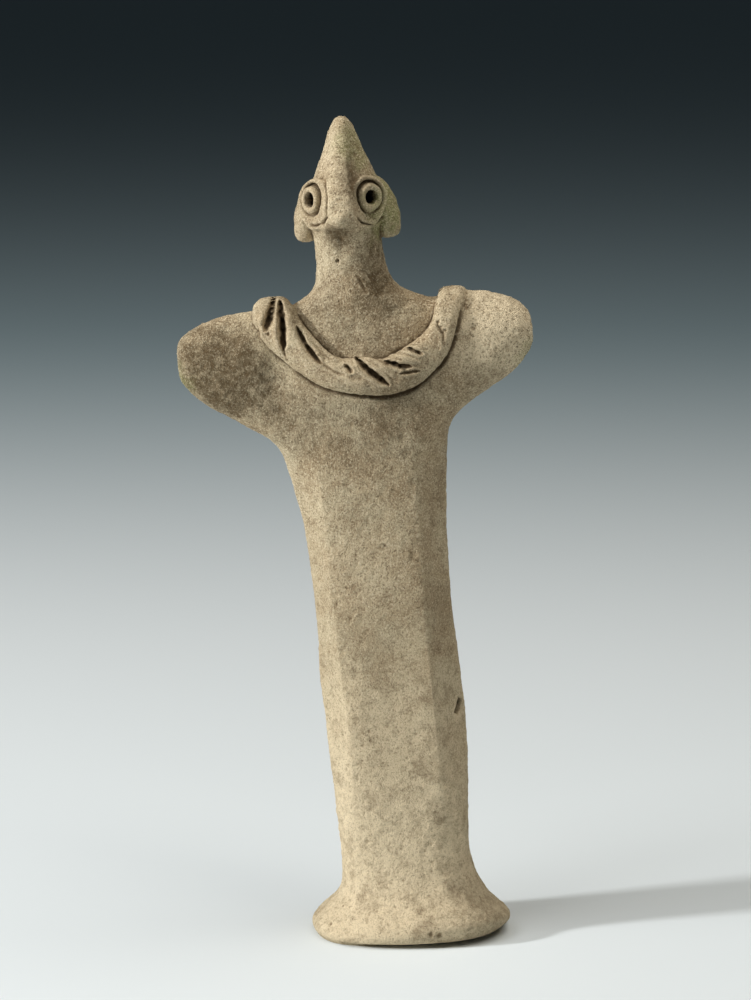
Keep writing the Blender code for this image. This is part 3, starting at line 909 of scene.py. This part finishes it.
GOUGES = (
    Cut(((-26.3, 125.9), (-26.7, 123.7), (-27.2, 121.8), (-28.0, 119.8)), 0.90, 1.9),
    Cut(((-25.3, 125.2), (-24.9, 122.5), (-24.6, 119.6), (-24.5, 116.2)), 0.78, 2.5),
    Cut(((-22.0, 120.7), (-20.7, 118.0), (-19.1, 115.8), (-17.3, 114.0)), 0.58, 1.5),
    Cut(((-10.7, 114.7), (-8.4, 112.7), (-6.5, 111.4), (-4.5, 109.9)), 0.72, 1.9),
    Cut(((-5.3, 114.2), (-2.7, 113.5), (-0.2, 113.2)), 0.55, 1.6),
    Cut(((-0.9, 116.6), (1.9, 115.5)), 0.44, 1.0),
    Cut(((-12.9, 113.7), (-11.3, 112.2)), 0.45, 0.7),
    Cut(((-2.6, 112.0), (1.5, 112.5)), 0.35, 0.5),
)
GOUGE_LIP = 0.16
# The slots are torn, not sliced: how far their sides wander and how uneven their floors are
GOUGE_ROUGH = 0.15
GOUGE_UNEVEN = 0.40
# How much burial dirt and painted shade the deepest part of a gouge holds
GOUGE_DIRT_AND_SHADE = 0.66
# The strands between the gouges stand proud, so their depths are negative
STRANDS = (
    Cut(((-28.6, 123.2), (-29.0, 121.0), (-28.3, 118.2)), 0.80, -0.30),
    Cut(((-26.0, 124.2), (-25.8, 122.0), (-26.1, 119.0), (-25.0, 115.8)), 0.90, -0.45),
    Cut(((-23.9, 124.0), (-23.3, 121.0), (-22.6, 118.0), (-20.4, 114.6), (-17.0, 111.8)), 1.30, -0.35),
    Cut(((-22.3, 122.4), (-19.3, 118.6), (-16.2, 115.6), (-13.6, 114.2)), 0.85, -0.40),
    Cut(((-15.6, 113.0), (-12.2, 110.8), (-8.4, 109.4)), 1.00, -0.30),
    Cut(((-10.2, 115.2), (-7.6, 114.4), (-5.2, 113.0), (-3.0, 111.2)), 0.85, -0.40),
    Cut(((-4.6, 115.0), (-1.6, 114.9), (1.6, 113.8)), 0.80, -0.35),
)
CREASES = (
    Cut(((8.7, 44.3), (9.2, 45.7), (9.6, 47.4)), 0.85, 2.8),
    Cut(((-11.7, 152.6), (-11.4, 149.5), (-11.0, 146.4)), 1.50, 0.45),
    Cut(((-16.4, 148.2), (-16.3, 144.7), (-16.3, 141.5), (-17.0, 140.2), (-18.4, 139.6), (-19.6, 139.7)), 0.45, 0.95),
    Cut(((-10.5, 141.6), (-9.4, 140.3), (-7.9, 139.8), (-6.4, 140.2), (-5.4, 141.2)), 0.40, 0.70),
    Cut(((3.7, 122.0), (4.8, 120.8), (5.8, 119.3), (5.9, 117.1)), 0.45, 0.40),
    Cut(((-24.5, 116.8), (-24.3, 115.2), (-23.6, 114.0)), 0.40, 0.45),
    Cut(((-27.8, 120.4), (-27.3, 118.6)), 0.45, 0.50),
    Cut(((-17.6, 114.3), (-15.0, 112.6), (-12.6, 111.6)), 0.45, 0.28),
    Cut(((-10.6, 130.5), (-8.6, 126.6)), 0.45, 0.20),
    Cut(((-9.2, 131.4), (-7.2, 128.6)), 0.40, 0.18),
    Cut(((-15.2, 144.6), (-12.4, 144.9)), 0.30, 0.08),
)
# The rings pressed round the pellets: radius, half width, and depth at the top, right, bottom and left
RING_RADIUS = 0.96 * EYE_RADIUS
RING_WIDTH = 0.00048
RINGS = {"left": (1.0, 1.1, 0.30, 0.45), "right": (1.0, 1.2, 0.15, 1.3)}
# How much dirt and painted shade lie in the pressed rings
RING_DIRT_AND_SHADE = 0.8
PUPIL_PUSH = 0.0016
# How much dirt and painted shade a crease holds for each millimetre of its depth
CREASE_DIRT_AND_SHADE = 0.45
# The crevices where the necklace meets the body: half width and depth
UPPER_CREVICE = (0.00050, 0.00012)
LOWER_CREVICE = (0.00100, 0.00060)
# Shares of the necklace's length between which each crevice opens and closes again
UPPER_OPEN = (0.24, 0.32, 0.68, 0.76)
LOWER_OPEN = (0.30, 0.46, 0.60, 0.78)
CREVICE_STEPS = 400
# How much painted shadow and dirt lie in the crevices round the necklace, most under its lower edge
CREVICE_DIRT_AND_SHADE = 0.45


def path_distance(places, path):
    """Distance of each place to the nearest point of a path, and how far along the path that point is."""
    path = np.asarray(path, dtype=float)
    best, share = np.full(len(places), np.inf), np.zeros(len(places))
    for k, (start, end) in enumerate(zip(path, path[1:])):
        offset = places - start
        along = np.clip(offset @ (end - start) / ((end - start) @ (end - start)), 0.0, 1.0)
        gap = np.linalg.norm(offset - along[:, None] * (end - start), axis=1)
        nearer = gap < best
        best[nearer], share[nearer] = gap[nearer], (k + along[nearer]) / (len(path) - 1)
    return best, share


def add_dirt_and_shade(amount):
    """Burial dirt and painted shade lie in a cut. The deepest cut at a point decides how much."""
    np.maximum(dirt, amount, out=dirt)


def end_taper(share):
    return 1 - np.abs(2 * share - 1) ** 4


class Flat(NamedTuple):
    """A plane that was pressed along the trunk: the way it faces in degrees and its distance from the axis."""

    facing: float
    reach: float


# The front and its two corners are planes, which meet in firm edges. They fade in and out between these heights.
FLATS = (Flat(2, 0.00875), Flat(48, 0.0116), Flat(-52, 0.0123))
FLAT_STARTS = (0.020, 0.034)
FLAT_ENDS = (0.086, 0.100)


def press_flats(points):
    height = points[:, 2]
    axis = np.interp(height, [p.z for p in AXIS], [p.x for p in AXIS])
    share = smoothstep(height, *FLAT_STARTS) * (1 - smoothstep(height, *FLAT_ENDS))
    for flat in FLATS:
        turn = math.radians(flat.facing)
        facing = np.array([math.sin(turn), -math.cos(turn), 0])
        over = np.maximum(points @ facing - axis * facing[0] - flat.reach, 0) * share
        print("plane facing", flat.facing, "degrees takes off", round(float(over.max()) / MM, 2), "mm")
        points = points - facing * over[:, None]
    return points


# The foot's rim stands a little off the ground, except at the back left: by how much of its radius the ground
# contact lies inside the rim, the heights between which that fades out, and the directions between which it
# fades in and out again, in degrees from straight ahead towards the right
UNDERCUT = 0.14
UNDERCUT_HEIGHTS = (0.0003, 0.0010)
UNDERCUT_STARTS = (-60, -10)
UNDERCUT_ENDS = (110, 150)


def curl_under(points):
    """Draws the lowest part of the foot inwards, so that a thin gap of shade shows along the ground."""
    way = np.degrees(np.arctan2(points[:, 0], -points[:, 1]))
    share = smoothstep(way, *UNDERCUT_STARTS) * (1 - smoothstep(way, *UNDERCUT_ENDS))
    share *= 1 - smoothstep(points[:, 2], *UNDERCUT_HEIGHTS)
    return points * (1 - UNDERCUT * share[:, None] * (1, 1, 0))


def cut_gouges(points, normals):
    """Pushes the clay straight in along the gouges, and a little of it up into a lip beside them."""
    inwards = np.zeros(len(points))
    wander = GOUGE_ROUGH * lumps(points, 0.9 * MM, 31)
    uneven = 1 + GOUGE_UNEVEN * lumps(points, 0.7 * MM, 33)
    for gouge in GOUGES:
        gap, share = path_distance(points[:, (0, 2)] / MM, gouge.path)
        gap = np.maximum(gap + wander, 0)
        width = gouge.width * (0.35 + 0.65 * end_taper(share))
        cut = gouge.depth * uneven * (0.3 + 0.7 * end_taper(share))
        cut *= 1 - smoothstep(gap, 0.30 * width, 1.15 * width)
        lip = GOUGE_LIP * np.exp(-(((gap - 1.7 * width) / (0.6 * width)) ** 2))
        inwards = np.where(cut > 0, np.maximum(inwards, cut), inwards) - lip * (cut <= 0)
    facing = smoothstep(-normals[:, 1], 0.05, 0.35)
    points[:, 1] += inwards * MM * facing
    # Dirt and painted shade lie in the deeper gouges
    add_dirt_and_shade(GOUGE_DIRT_AND_SHADE * smoothstep(inwards, 0.4, 1.8) * facing)
    return points


def press_rings(points):
    """Presses a ring into the clay round each pellet, deeper on some sides than on others, lays dirt and painted
    shade in the ring and fills the pupil hole with dark painted shade.
    """
    for name, eye in EYES.items():
        centre, outwards, sideways, upwards = (np.array(part) for part in eye_frame(eye, skin))
        offset = points - centre
        across, along, height = offset @ sideways / eye.pellet_width, offset @ upwards, offset @ outwards
        radius = np.hypot(across, along) + 1e-9
        turn = np.stack([along, across, -along, -across]) / radius
        depth = (np.maximum(turn, 0) ** 2 * np.array(RINGS[name])[:, None]).sum(axis=0) * MM
        close = 1 - smoothstep(np.abs(radius - RING_RADIUS), 0.35 * RING_WIDTH, RING_WIDTH)
        close *= smoothstep(height, -1.5 * MM, -0.8 * MM)
        # Dirt and painted shade in the pressed ring
        add_dirt_and_shade(RING_DIRT_AND_SHADE * close * np.minimum(depth / MM, 1))
        hole = 1 - smoothstep(radius, 1.00 * PUPIL_RADIUS, 1.14 * PUPIL_RADIUS)
        hole *= PUPIL_PUSH * smoothstep(height, -PUPIL_DEPTH, 0.0)
        sunk = height - hole
        # The pupil hole gets the darkest colour: painted shade
        in_hole = smoothstep(sunk, -3.2 * MM, -2.8 * MM) * (1 - smoothstep(sunk, 0.7 * MM, 1.3 * MM))
        add_dirt_and_shade(in_hole * (1 - smoothstep(radius, 1.22 * PUPIL_RADIUS, 1.36 * PUPIL_RADIUS)))
        points = points - outwards * (depth * close + hole)[:, None]
    return points


def dent(tree, centre, radius, depth, moves):
    for _, index, distance in tree.find_range(centre, radius):
        moves[index] -= depth * (1 - (distance / radius) ** 2) ** 2


def from_front(x, z):
    """The point of the skin that is seen from the front at X and Z in millimetres."""
    return SKIN.ray_cast(Vector((x * MM, -RAY, z * MM)), Vector((0, 1, 0)))[0]


def score(points, moves, cut):
    """Presses a cut into the skin along its path, and lays dirt and painted shade in it."""
    path = [np.array(from_front(x, z)) for x, z in cut.path]
    gap, share = path_distance(points, path)
    pressed = end_taper(share) * (1 - smoothstep(gap, 0.2 * cut.width * MM, cut.width * MM))
    moves -= cut.depth * MM * pressed
    # Dirt and painted shade in the crease, more in a deeper one
    add_dirt_and_shade(min(CREASE_DIRT_AND_SHADE * cut.depth, 1) * smoothstep(pressed, 0.1, 0.5))


def scatter_marks(points, normals):
    rng = np.random.default_rng(5)
    tree = KDTree(len(points))
    for index, point in enumerate(points):
        tree.insert(point, index)
    tree.balance()
    moves = np.zeros(len(points))
    for kind in SCATTERS:
        for index in rng.integers(0, len(points), kind.count):
            radius, depth = rng.uniform(*kind.radius) * MM, rng.uniform(*kind.depth) * MM
            dent(tree, points[index], radius, depth, moves)
    for x, z, radius, depth in MARKS:
        dent(tree, from_front(x, z), radius * MM, depth * MM, moves)
    for cut in CREASES + STRANDS:
        score(points, moves, cut)
    crevice = np.zeros(len(points))
    for edge, along, low in band_edges(CREVICE_STEPS):
        width, depth = LOWER_CREVICE if low else UPPER_CREVICE
        opens, is_open, closes, is_closed = LOWER_OPEN if low else UPPER_OPEN
        depth *= ease(along, opens, is_open) * (1 - ease(along, closes, is_closed))
        for _, index, distance in tree.find_range(edge, width):
            crevice[index] = max(crevice[index], depth * (1 - (distance / width) ** 2))
    moves -= crevice
    # Painted shadow and some dirt in the crevices round the necklace
    add_dirt_and_shade(CREVICE_DIRT_AND_SHADE * crevice / LOWER_CREVICE[1])
    moves *= smoothstep(points[:, 2], FLAT_BELOW, 2 * FLAT_BELOW)
    return points + normals * moves[:, None]


points = curl_under(press_flats(points))
write(figurine.data, points)
SKIN = surface_of(figurine)
normals = read(figurine.data, "normal")
# Dirt and painted shade, from 0 to 1 at each point, which the cuts below lay in
dirt = np.zeros(len(points))
points = press_rings(cut_gouges(scatter_marks(points, normals), normals))
points[:, 2] = np.where(points[:, 2] < 0.25 * MM, 0.0, points[:, 2])
write(figurine.data, points)
print(sum(kind.count for kind in SCATTERS), "pits and grains,", len(MARKS), "marks,", len(GOUGES) + len(CREASES), "cuts")


# %% [markdown]
# Hollows
#
# Burial dirt stays in hollows and wears off what stands proud, and the material also paints shade into the
# hollows. A hollow lies below the average of its neighbours, so a much smoothed copy of the points is compared
# with the real ones. The result is kept on the points as an attribute, which the material reads.

# %% Hollows
FINE_ROUNDS = 6
BROAD_ROUNDS = 60


def averaged(points, edges, rounds):
    first, second = edges.T
    count = np.bincount(edges.ravel(), minlength=len(points)).astype(float)
    for _ in range(rounds):
        total = np.stack([
            np.bincount(first, points[second, axis], len(points)) + np.bincount(second, points[first, axis], len(points))
            for axis in range(3)
        ], axis=1)
        points = total / np.maximum(count, 1)[:, None]
    return points


def add_hollows(mesh):
    points, normals = read(mesh, "co"), read(mesh, "normal")
    edges = np.empty(len(mesh.edges) * 2, dtype=np.int32)
    mesh.edges.foreach_get("vertices", edges)
    edges = edges.reshape(-1, 2)
    for name, rounds in (("hollow", FINE_ROUNDS), ("broad_hollow", BROAD_ROUNDS)):
        depth = np.einsum("ij,ij->i", averaged(points, edges, rounds) - points, normals) / MM
        mesh.attributes.new(name, "FLOAT", "POINT").data.foreach_set("value", depth.astype(np.float32))
        print(name, "from", round(float(depth.min()), 3), "to", round(float(depth.max()), 3), "mm")


add_hollows(figurine.data)
# The dirt and painted shade go on the points as an attribute, which the material reads
figurine.data.attributes.new("dirt", "FLOAT", "POINT").data.foreach_set("value", dirt.astype(np.float32))


# %% [markdown]
# Fewer faces
#
# The even skin has far more faces than its calm stretches need. Decimate takes them away there and keeps them
# where the surface bends.

# %% Fewer faces
TRIANGLES = 190000


def lighten(obj):
    triangles = sum(len(face.vertices) - 2 for face in obj.data.polygons)
    lighter = obj.modifiers.new("lighter", "DECIMATE")
    lighter.ratio = TRIANGLES / triangles
    work_in(obj)
    obj.data.shade_smooth()
    obj.modifiers.clear()
    return obj


lighten(figurine)
print("kept attributes", [a.name for a in figurine.data.attributes], len(figurine.data.polygons), "faces")


# %% [markdown]
# Shader maths in Python
#
# Node trees are hard to read as lists of links. A Wire is the output of a node, and its operators add Math nodes, so
# a mask can be written as 1 - dirt * 0.5. Colours and vectors go through Mix and Vector Math, because a Math node
# turns a colour grey. Any other node comes from Wire.node.

# %% Shader maths in Python
class Wire:
    """The output of a shader node, for use in Python expressions."""

    tree = None

    def __init__(self, socket):
        self.socket = socket

    @classmethod
    def node(cls, kind, settings=None, inputs=None, output=0):
        made = cls.tree.nodes.new(kind)
        for name, value in (settings or {}).items():
            if name == "stops":
                ramp = made.color_ramp.elements
                while len(ramp) < len(value):
                    ramp.new(1.0)
                for element, (place, colour) in zip(ramp, value):
                    element.position, element.color = place, colour
            else:
                setattr(made, name, value)
        for name, value in (inputs or {}).items():
            if isinstance(value, Wire):
                cls.tree.links.new(value.socket, made.inputs[name])
            else:
                made.inputs[name].default_value = value
        return cls(made.outputs[output])

    def math(self, operation, *others, clamp=False):
        inputs = dict(enumerate((self, *others)))
        return Wire.node("ShaderNodeMath", {"operation": operation, "use_clamp": clamp}, inputs)

    def __add__(self, other):
        return self.math("ADD", other)

    __radd__ = __add__

    def __mul__(self, other):
        return self.math("MULTIPLY", other)

    __rmul__ = __mul__

    def __sub__(self, other):
        return self.math("SUBTRACT", other)

    def __rsub__(self, other):
        return Wire.node("ShaderNodeMath", {"operation": "SUBTRACT"}, {0: other, 1: self})

    def between(self, start, end):
        """0 below start, 1 above end and a smooth rise between."""
        return Wire.node("ShaderNodeMapRange", {"interpolation_type": "SMOOTHSTEP"},
                         {"Value": self, "From Min": start, "From Max": end, "To Min": 0.0, "To Max": 1.0})

    def clamped(self):
        return self.math("ADD", 0.0, clamp=True)


def noise(place, size, detail=2.0, roughness=0.5, kind="FBM"):
    """Noise from 0 to 1 whose blotches are about size millimetres across."""
    return Wire.node("ShaderNodeTexNoise", {"noise_dimensions": "3D", "noise_type": kind},
                     {"Vector": place, "Scale": 1.0 / size, "Detail": detail, "Roughness": roughness})


def blend(mask, under, over):
    """The colour under, covered by the colour over where the mask is 1."""
    return Wire.node("ShaderNodeMix", {"data_type": "RGBA"}, {0: mask, 6: under, 7: over}, output=2)


print("shader helpers ready")


# %% [markdown]
# Fired clay
#
# The real clay is a pale buff that burial has stained. It has brown clouds some millimetres across, sand in
# light and dark specks, dirt in its hollows and a bare, paler look on what stands proud. Most colours below are
# the clay's own, without light. Painted shade darkens the hollows, cuts, pupils and crevices, the nose's right side
# and under the nose, and in part the neck's right side and the left arm; painted light in part brightens the right
# arm. Position in millimetres drives the noise, so the grain keeps its real size.

# %% Fired clay
BUFF = (0.430, 0.326, 0.196, 1.0)
PALE = (0.550, 0.454, 0.294, 1.0)
BARE = (0.780, 0.646, 0.432, 1.0)
BROWN = (0.185, 0.121, 0.060, 1.0)
UMBER = (0.088, 0.060, 0.026, 1.0)
# Burial dirt, also used as painted shade in the hollows, cuts and crevices
DIRT_AND_SHADE = (0.075, 0.048, 0.023, 1.0)
# Near black painted shade for the pupil holes and the deep gash in the trunk
DEEP_SHADE = (0.016, 0.011, 0.006, 1.0)
GREY_GREEN = (0.225, 0.238, 0.080, 1.0)
DARK_SPECK = (0.120, 0.080, 0.042, 1.0)
LIGHT_SPECK = (0.760, 0.650, 0.455, 1.0)
# Handling wore the foot smooth, so the specks are fainter there and stronger towards the head
SAND_AT_FOOT = 0.60
SAND_AT_HEAD = 1.20
# Patches: centre and radius in millimetres, and strength. Most are stains and wear of the original. Of the dark
# ones, those on the left arm and the neck's right side are partly painted shade, those on the nose's right side
# are painted shade and the one under the nose is painted shadow.
STAINS_AND_SHADE = (
    ((-38, -4, 112), 12, 1.00), ((-31, -5, 108), 8, 0.50), ((-7, -5, 131), 6, 0.72), ((-6, -4, 126), 6, 0.46),
    ((-9, -6, 120), 9, 0.35), ((-3, -8, 105), 10, 0.25), ((-9, -9, 60), 8, 0.18), ((-21, -6, 124), 5, 0.35),
    ((14, -3, 109), 7, 0.40), ((-10, -9, 150), 5, 0.95), ((4, -14, 6), 5, 0.25), ((-14, -8, 138), 4, 0.95),
    ((-11, -9, 146), 3, 0.65), ((-6, -5, 137), 4, 0.70), ((-12, -5, 157), 4, 0.36), ((-12, -6, 153), 4, 0.40),
    ((-3, -9, 112), 9, 0.28), ((-20, -7, 101), 9, 0.28), ((-17, -6, 127), 5, 0.25),
    ((-22, -6, 102), 8, 0.35), ((13, -8, 6), 8, 0.45), ((4, -4, 66), 7, 0.30), ((-8, -8, 97), 9, 0.25),
)
# Pale patches of bare, worn clay; the large one on the right arm is partly painted light, as if that arm turned
# towards the light
BARE_AND_LIT_PATCHES = (
    ((18, -4, 119), 13, 0.95), ((-2, -10, 8), 24, 0.90), ((-6, -8, 34), 22, 0.60), ((-15, -12, 145), 6, 0.20),
    ((-18, -5, 128), 6, 0.20), ((-9, -9, 112), 7, 0.30), ((-10, -8, 74), 10, 0.30), ((-16, -5, 154), 6, 0.65),
    ((-16, -8, 50), 20, 0.12),
)
GREEN_STAINS = (
    ((-5, -2, 143), 8, 1.0), ((24, 0, 114), 6, 0.8), ((-43, 0, 110), 5, 0.6), ((-10, -3, 155), 6, 0.65),
)


def distance(place, centre):
    return Wire.node("ShaderNodeVectorMath", {"operation": "DISTANCE"}, {0: place, 1: centre}, output="Value")


def patch_strength(place, patches, ragged):
    """How strongly a list of patches shows: soft spots whose edges are broken up by a noise."""
    total = 0.0
    for centre, radius, strength in patches:
        spot = 1 - (distance(place, centre) + ragged * radius).between(0.35 * radius, 1.15 * radius)
        total = spot * strength + total
    return total.clamped()


def fired_clay():
    material = bpy.data.materials.new("fired_clay")
    material.use_nodes = True
    Wire.tree = material.node_tree
    shader = material.node_tree.nodes["Principled BSDF"]
    raw = Wire.node("ShaderNodeTexCoord", output="Object")
    place = Wire.node("ShaderNodeVectorMath", {"operation": "SCALE"}, {0: raw, "Scale": 1 / MM})
    hollow = Wire.node("ShaderNodeAttribute", {"attribute_name": "hollow"}, output="Fac")
    broad = Wire.node("ShaderNodeAttribute", {"attribute_name": "broad_hollow"}, output="Fac")
    filled_dirt_and_shade = Wire.node("ShaderNodeAttribute", {"attribute_name": "dirt"}, output="Fac")

    clouds = noise(place, 9.0, 5.0, 0.62)
    mottle = noise(place, 1.6, 5.0, 0.68)
    grain = noise(place, 0.34, 3.0, 0.7)
    ragged = (noise(place, 3.0, 4.0, 0.7) - 0.5) * 1.2
    height = Wire.node("ShaderNodeSeparateXYZ", None, {0: place}, output="Z")
    sandy = SAND_AT_FOOT + (SAND_AT_HEAD - SAND_AT_FOOT) * height.between(0.0, 140.0)

    colour = blend(clouds.between(0.36, 0.64), BUFF, PALE)
    # Bare, worn patches, and painted light in part on the right arm
    colour = blend(patch_strength(place, BARE_AND_LIT_PATCHES, ragged), colour, BARE)
    colour = blend((noise(place, 5.0, 5.0, 0.7).between(0.50, 0.70)) * 0.55, colour, BROWN)
    # Dark patches: stains, and painted shade on the nose and in part on the neck and left arm
    stain_and_shade = patch_strength(place, STAINS_AND_SHADE, ragged)
    colour = blend(stain_and_shade * (0.30 + 0.66 * mottle.between(0.25, 0.60)), colour, UMBER)
    colour = blend(patch_strength(place, GREEN_STAINS, ragged) * 0.80, colour, GREY_GREEN)
    colour = blend(mottle.between(0.48, 0.66) * 0.38, colour, BROWN)
    colour = blend(grain.between(0.53, 0.64) * (0.66 - stain_and_shade * 0.40) * sandy, colour, LIGHT_SPECK)
    colour = blend((1 - grain.between(0.36, 0.47)) * 0.64 * sandy, colour, DARK_SPECK)
    colour = blend((0 - hollow).between(0.008, 0.07) * 0.22, colour, BARE)
    # Dirt and painted shade darken the fine hollows, and painted shade with some dirt the broad ones
    colour = blend(hollow.between(0.008, 0.08) * 0.55, colour, BROWN)
    colour = blend(broad.between(0.12, 0.50) * 0.85, colour, DIRT_AND_SHADE)
    # Dirt and painted shade from the cuts, rings and crevices
    colour = blend(filled_dirt_and_shade * (0.70 + 0.30 * mottle), colour, DIRT_AND_SHADE)
    # Near black painted shade in the pupils and the gash
    colour = blend(filled_dirt_and_shade.between(0.82, 1.0), colour, DEEP_SHADE)
    Wire.tree.links.new(colour.socket, shader.inputs["Base Color"])

    roughness = 0.86 + grain * 0.12
    Wire.tree.links.new(roughness.socket, shader.inputs["Roughness"])
    shader.inputs["Specular IOR Level"].default_value = 0.25

    pores = Wire.node("ShaderNodeTexVoronoi", {"feature": "F1"}, {"Vector": place, "Scale": 1.9})
    relief = grain * 0.6 + noise(place, 0.2, 2.0, 0.6) * 0.35 + pores.between(0.0, 0.32) * 0.35
    bump = Wire.node("ShaderNodeBump", None, {"Height": relief, "Strength": 1.0, "Distance": 0.00042})
    Wire.tree.links.new(bump.socket, shader.inputs["Normal"])
    return material


figurine.data.materials.clear()
figurine.data.materials.append(fired_clay())
print("fired clay", len(Wire.tree.nodes), "nodes")


# %% [markdown]
# The piece in the frame
#
# The detailed mesh stands for the CAD solid, and rides on the object's one body.

# %% The piece in the frame
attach(figurine, "root")
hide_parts(NODE)
print("figurine rides on root and stands for", NODE)


# %% [markdown]
# Floor, light and camera
#
# A plain pale floor runs far back. Its colour fades to a darker slate grey behind the figurine, which is painted
# shade where the light no longer reaches. A small soft key light from the left shows the modelling of the clay and
# throws the shadow to the right. Two weaker lights from high left and high right keep the top and the shaded side
# readable.

# %% Floor, light and camera
FLOOR_SIZE = 40.0
NEAR_FLOOR = (0.765, 0.818, 0.836, 1.0)
SHADED_FAR_FLOOR = (0.432, 0.566, 0.612, 1.0)
# The floor's colour fades from its near colour to the darker far one, painted shade, between these distances
# behind the figurine
FLOOR_SHADE_FADE = (0.22, 1.05)
WORLD_COLOUR = (0.30, 0.35, 0.38, 1.0)
WORLD_STRENGTH = 0.07


def make_floor():
    bm = bmesh.new()
    bmesh.ops.create_grid(bm, x_segments=1, y_segments=1, size=FLOOR_SIZE / 2)
    floor = object_from("floor", bm)
    material = bpy.data.materials.new("floor")
    material.use_nodes = True
    shader = material.node_tree.nodes["Principled BSDF"]
    shader.inputs["Roughness"].default_value = 0.9
    Wire.tree = material.node_tree
    place = Wire.node("ShaderNodeTexCoord", output="Object")
    behind = Wire.node("ShaderNodeSeparateXYZ", None, {0: place}, output="Y")
    # Painted shade: the floor darkens towards the back
    colour = blend(behind.between(*FLOOR_SHADE_FADE), NEAR_FLOOR, SHADED_FAR_FLOOR)
    Wire.tree.links.new(colour.socket, shader.inputs["Base Color"])
    floor.data.materials.append(material)
    floor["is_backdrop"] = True


def make_light(name, place, aim, power, size, colour=(1.0, 1.0, 1.0)):
    lamp = bpy.data.lights.new(name, "AREA")
    lamp.energy = power
    lamp.color = colour
    lamp.size = size
    obj = bpy.data.objects.new(name, lamp)
    obj.location = place
    obj.rotation_euler = (Vector(aim) - Vector(place)).to_track_quat("-Z", "Y").to_euler()
    bpy.context.collection.objects.link(obj)


make_floor()
make_light("key", (-1.033, -0.316, 0.463), (0, 0, 0.07), 11.5, 0.09)
make_light("high left", (-0.45, -0.25, 0.75), (0, 0, 0.05), 2.3, 0.40)
make_light("high right", (0.25, -0.10, 0.80), (0.05, 0, 0), 3.8, 0.60, (1.0, 0.95, 0.87))
world = bpy.data.worlds.new("studio")
bpy.context.scene.world = world
world.use_nodes = True
world.node_tree.nodes["Background"].inputs["Color"].default_value = WORLD_COLOUR
world.node_tree.nodes["Background"].inputs["Strength"].default_value = WORLD_STRENGTH

# The camera looks from straight in front and a little above
CAMERA_ELEVATION = math.radians(10.0)
CAMERA_DISTANCE = 0.620
CAMERA_TARGET = (-0.007036, 0.0, 0.085936)
CAMERA_LENS = 115.3

camera = bpy.data.objects.new("camera", bpy.data.cameras.new("camera"))
camera.data.lens = CAMERA_LENS
camera.location = Vector(CAMERA_TARGET) + CAMERA_DISTANCE * Vector((
    0, -math.cos(CAMERA_ELEVATION), math.sin(CAMERA_ELEVATION)))
camera.rotation_euler = (math.pi / 2 - CAMERA_ELEVATION, 0, 0)
bpy.context.collection.objects.link(camera)
bpy.context.scene.camera = camera
bpy.context.scene.view_settings.view_transform = "Standard"
print("camera at", [round(c, 4) for c in camera.location])


seen_box = [list(corner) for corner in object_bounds()]
print("visual box in mm", [[round(c / MM, 2) for c in corner] for corner in seen_box])
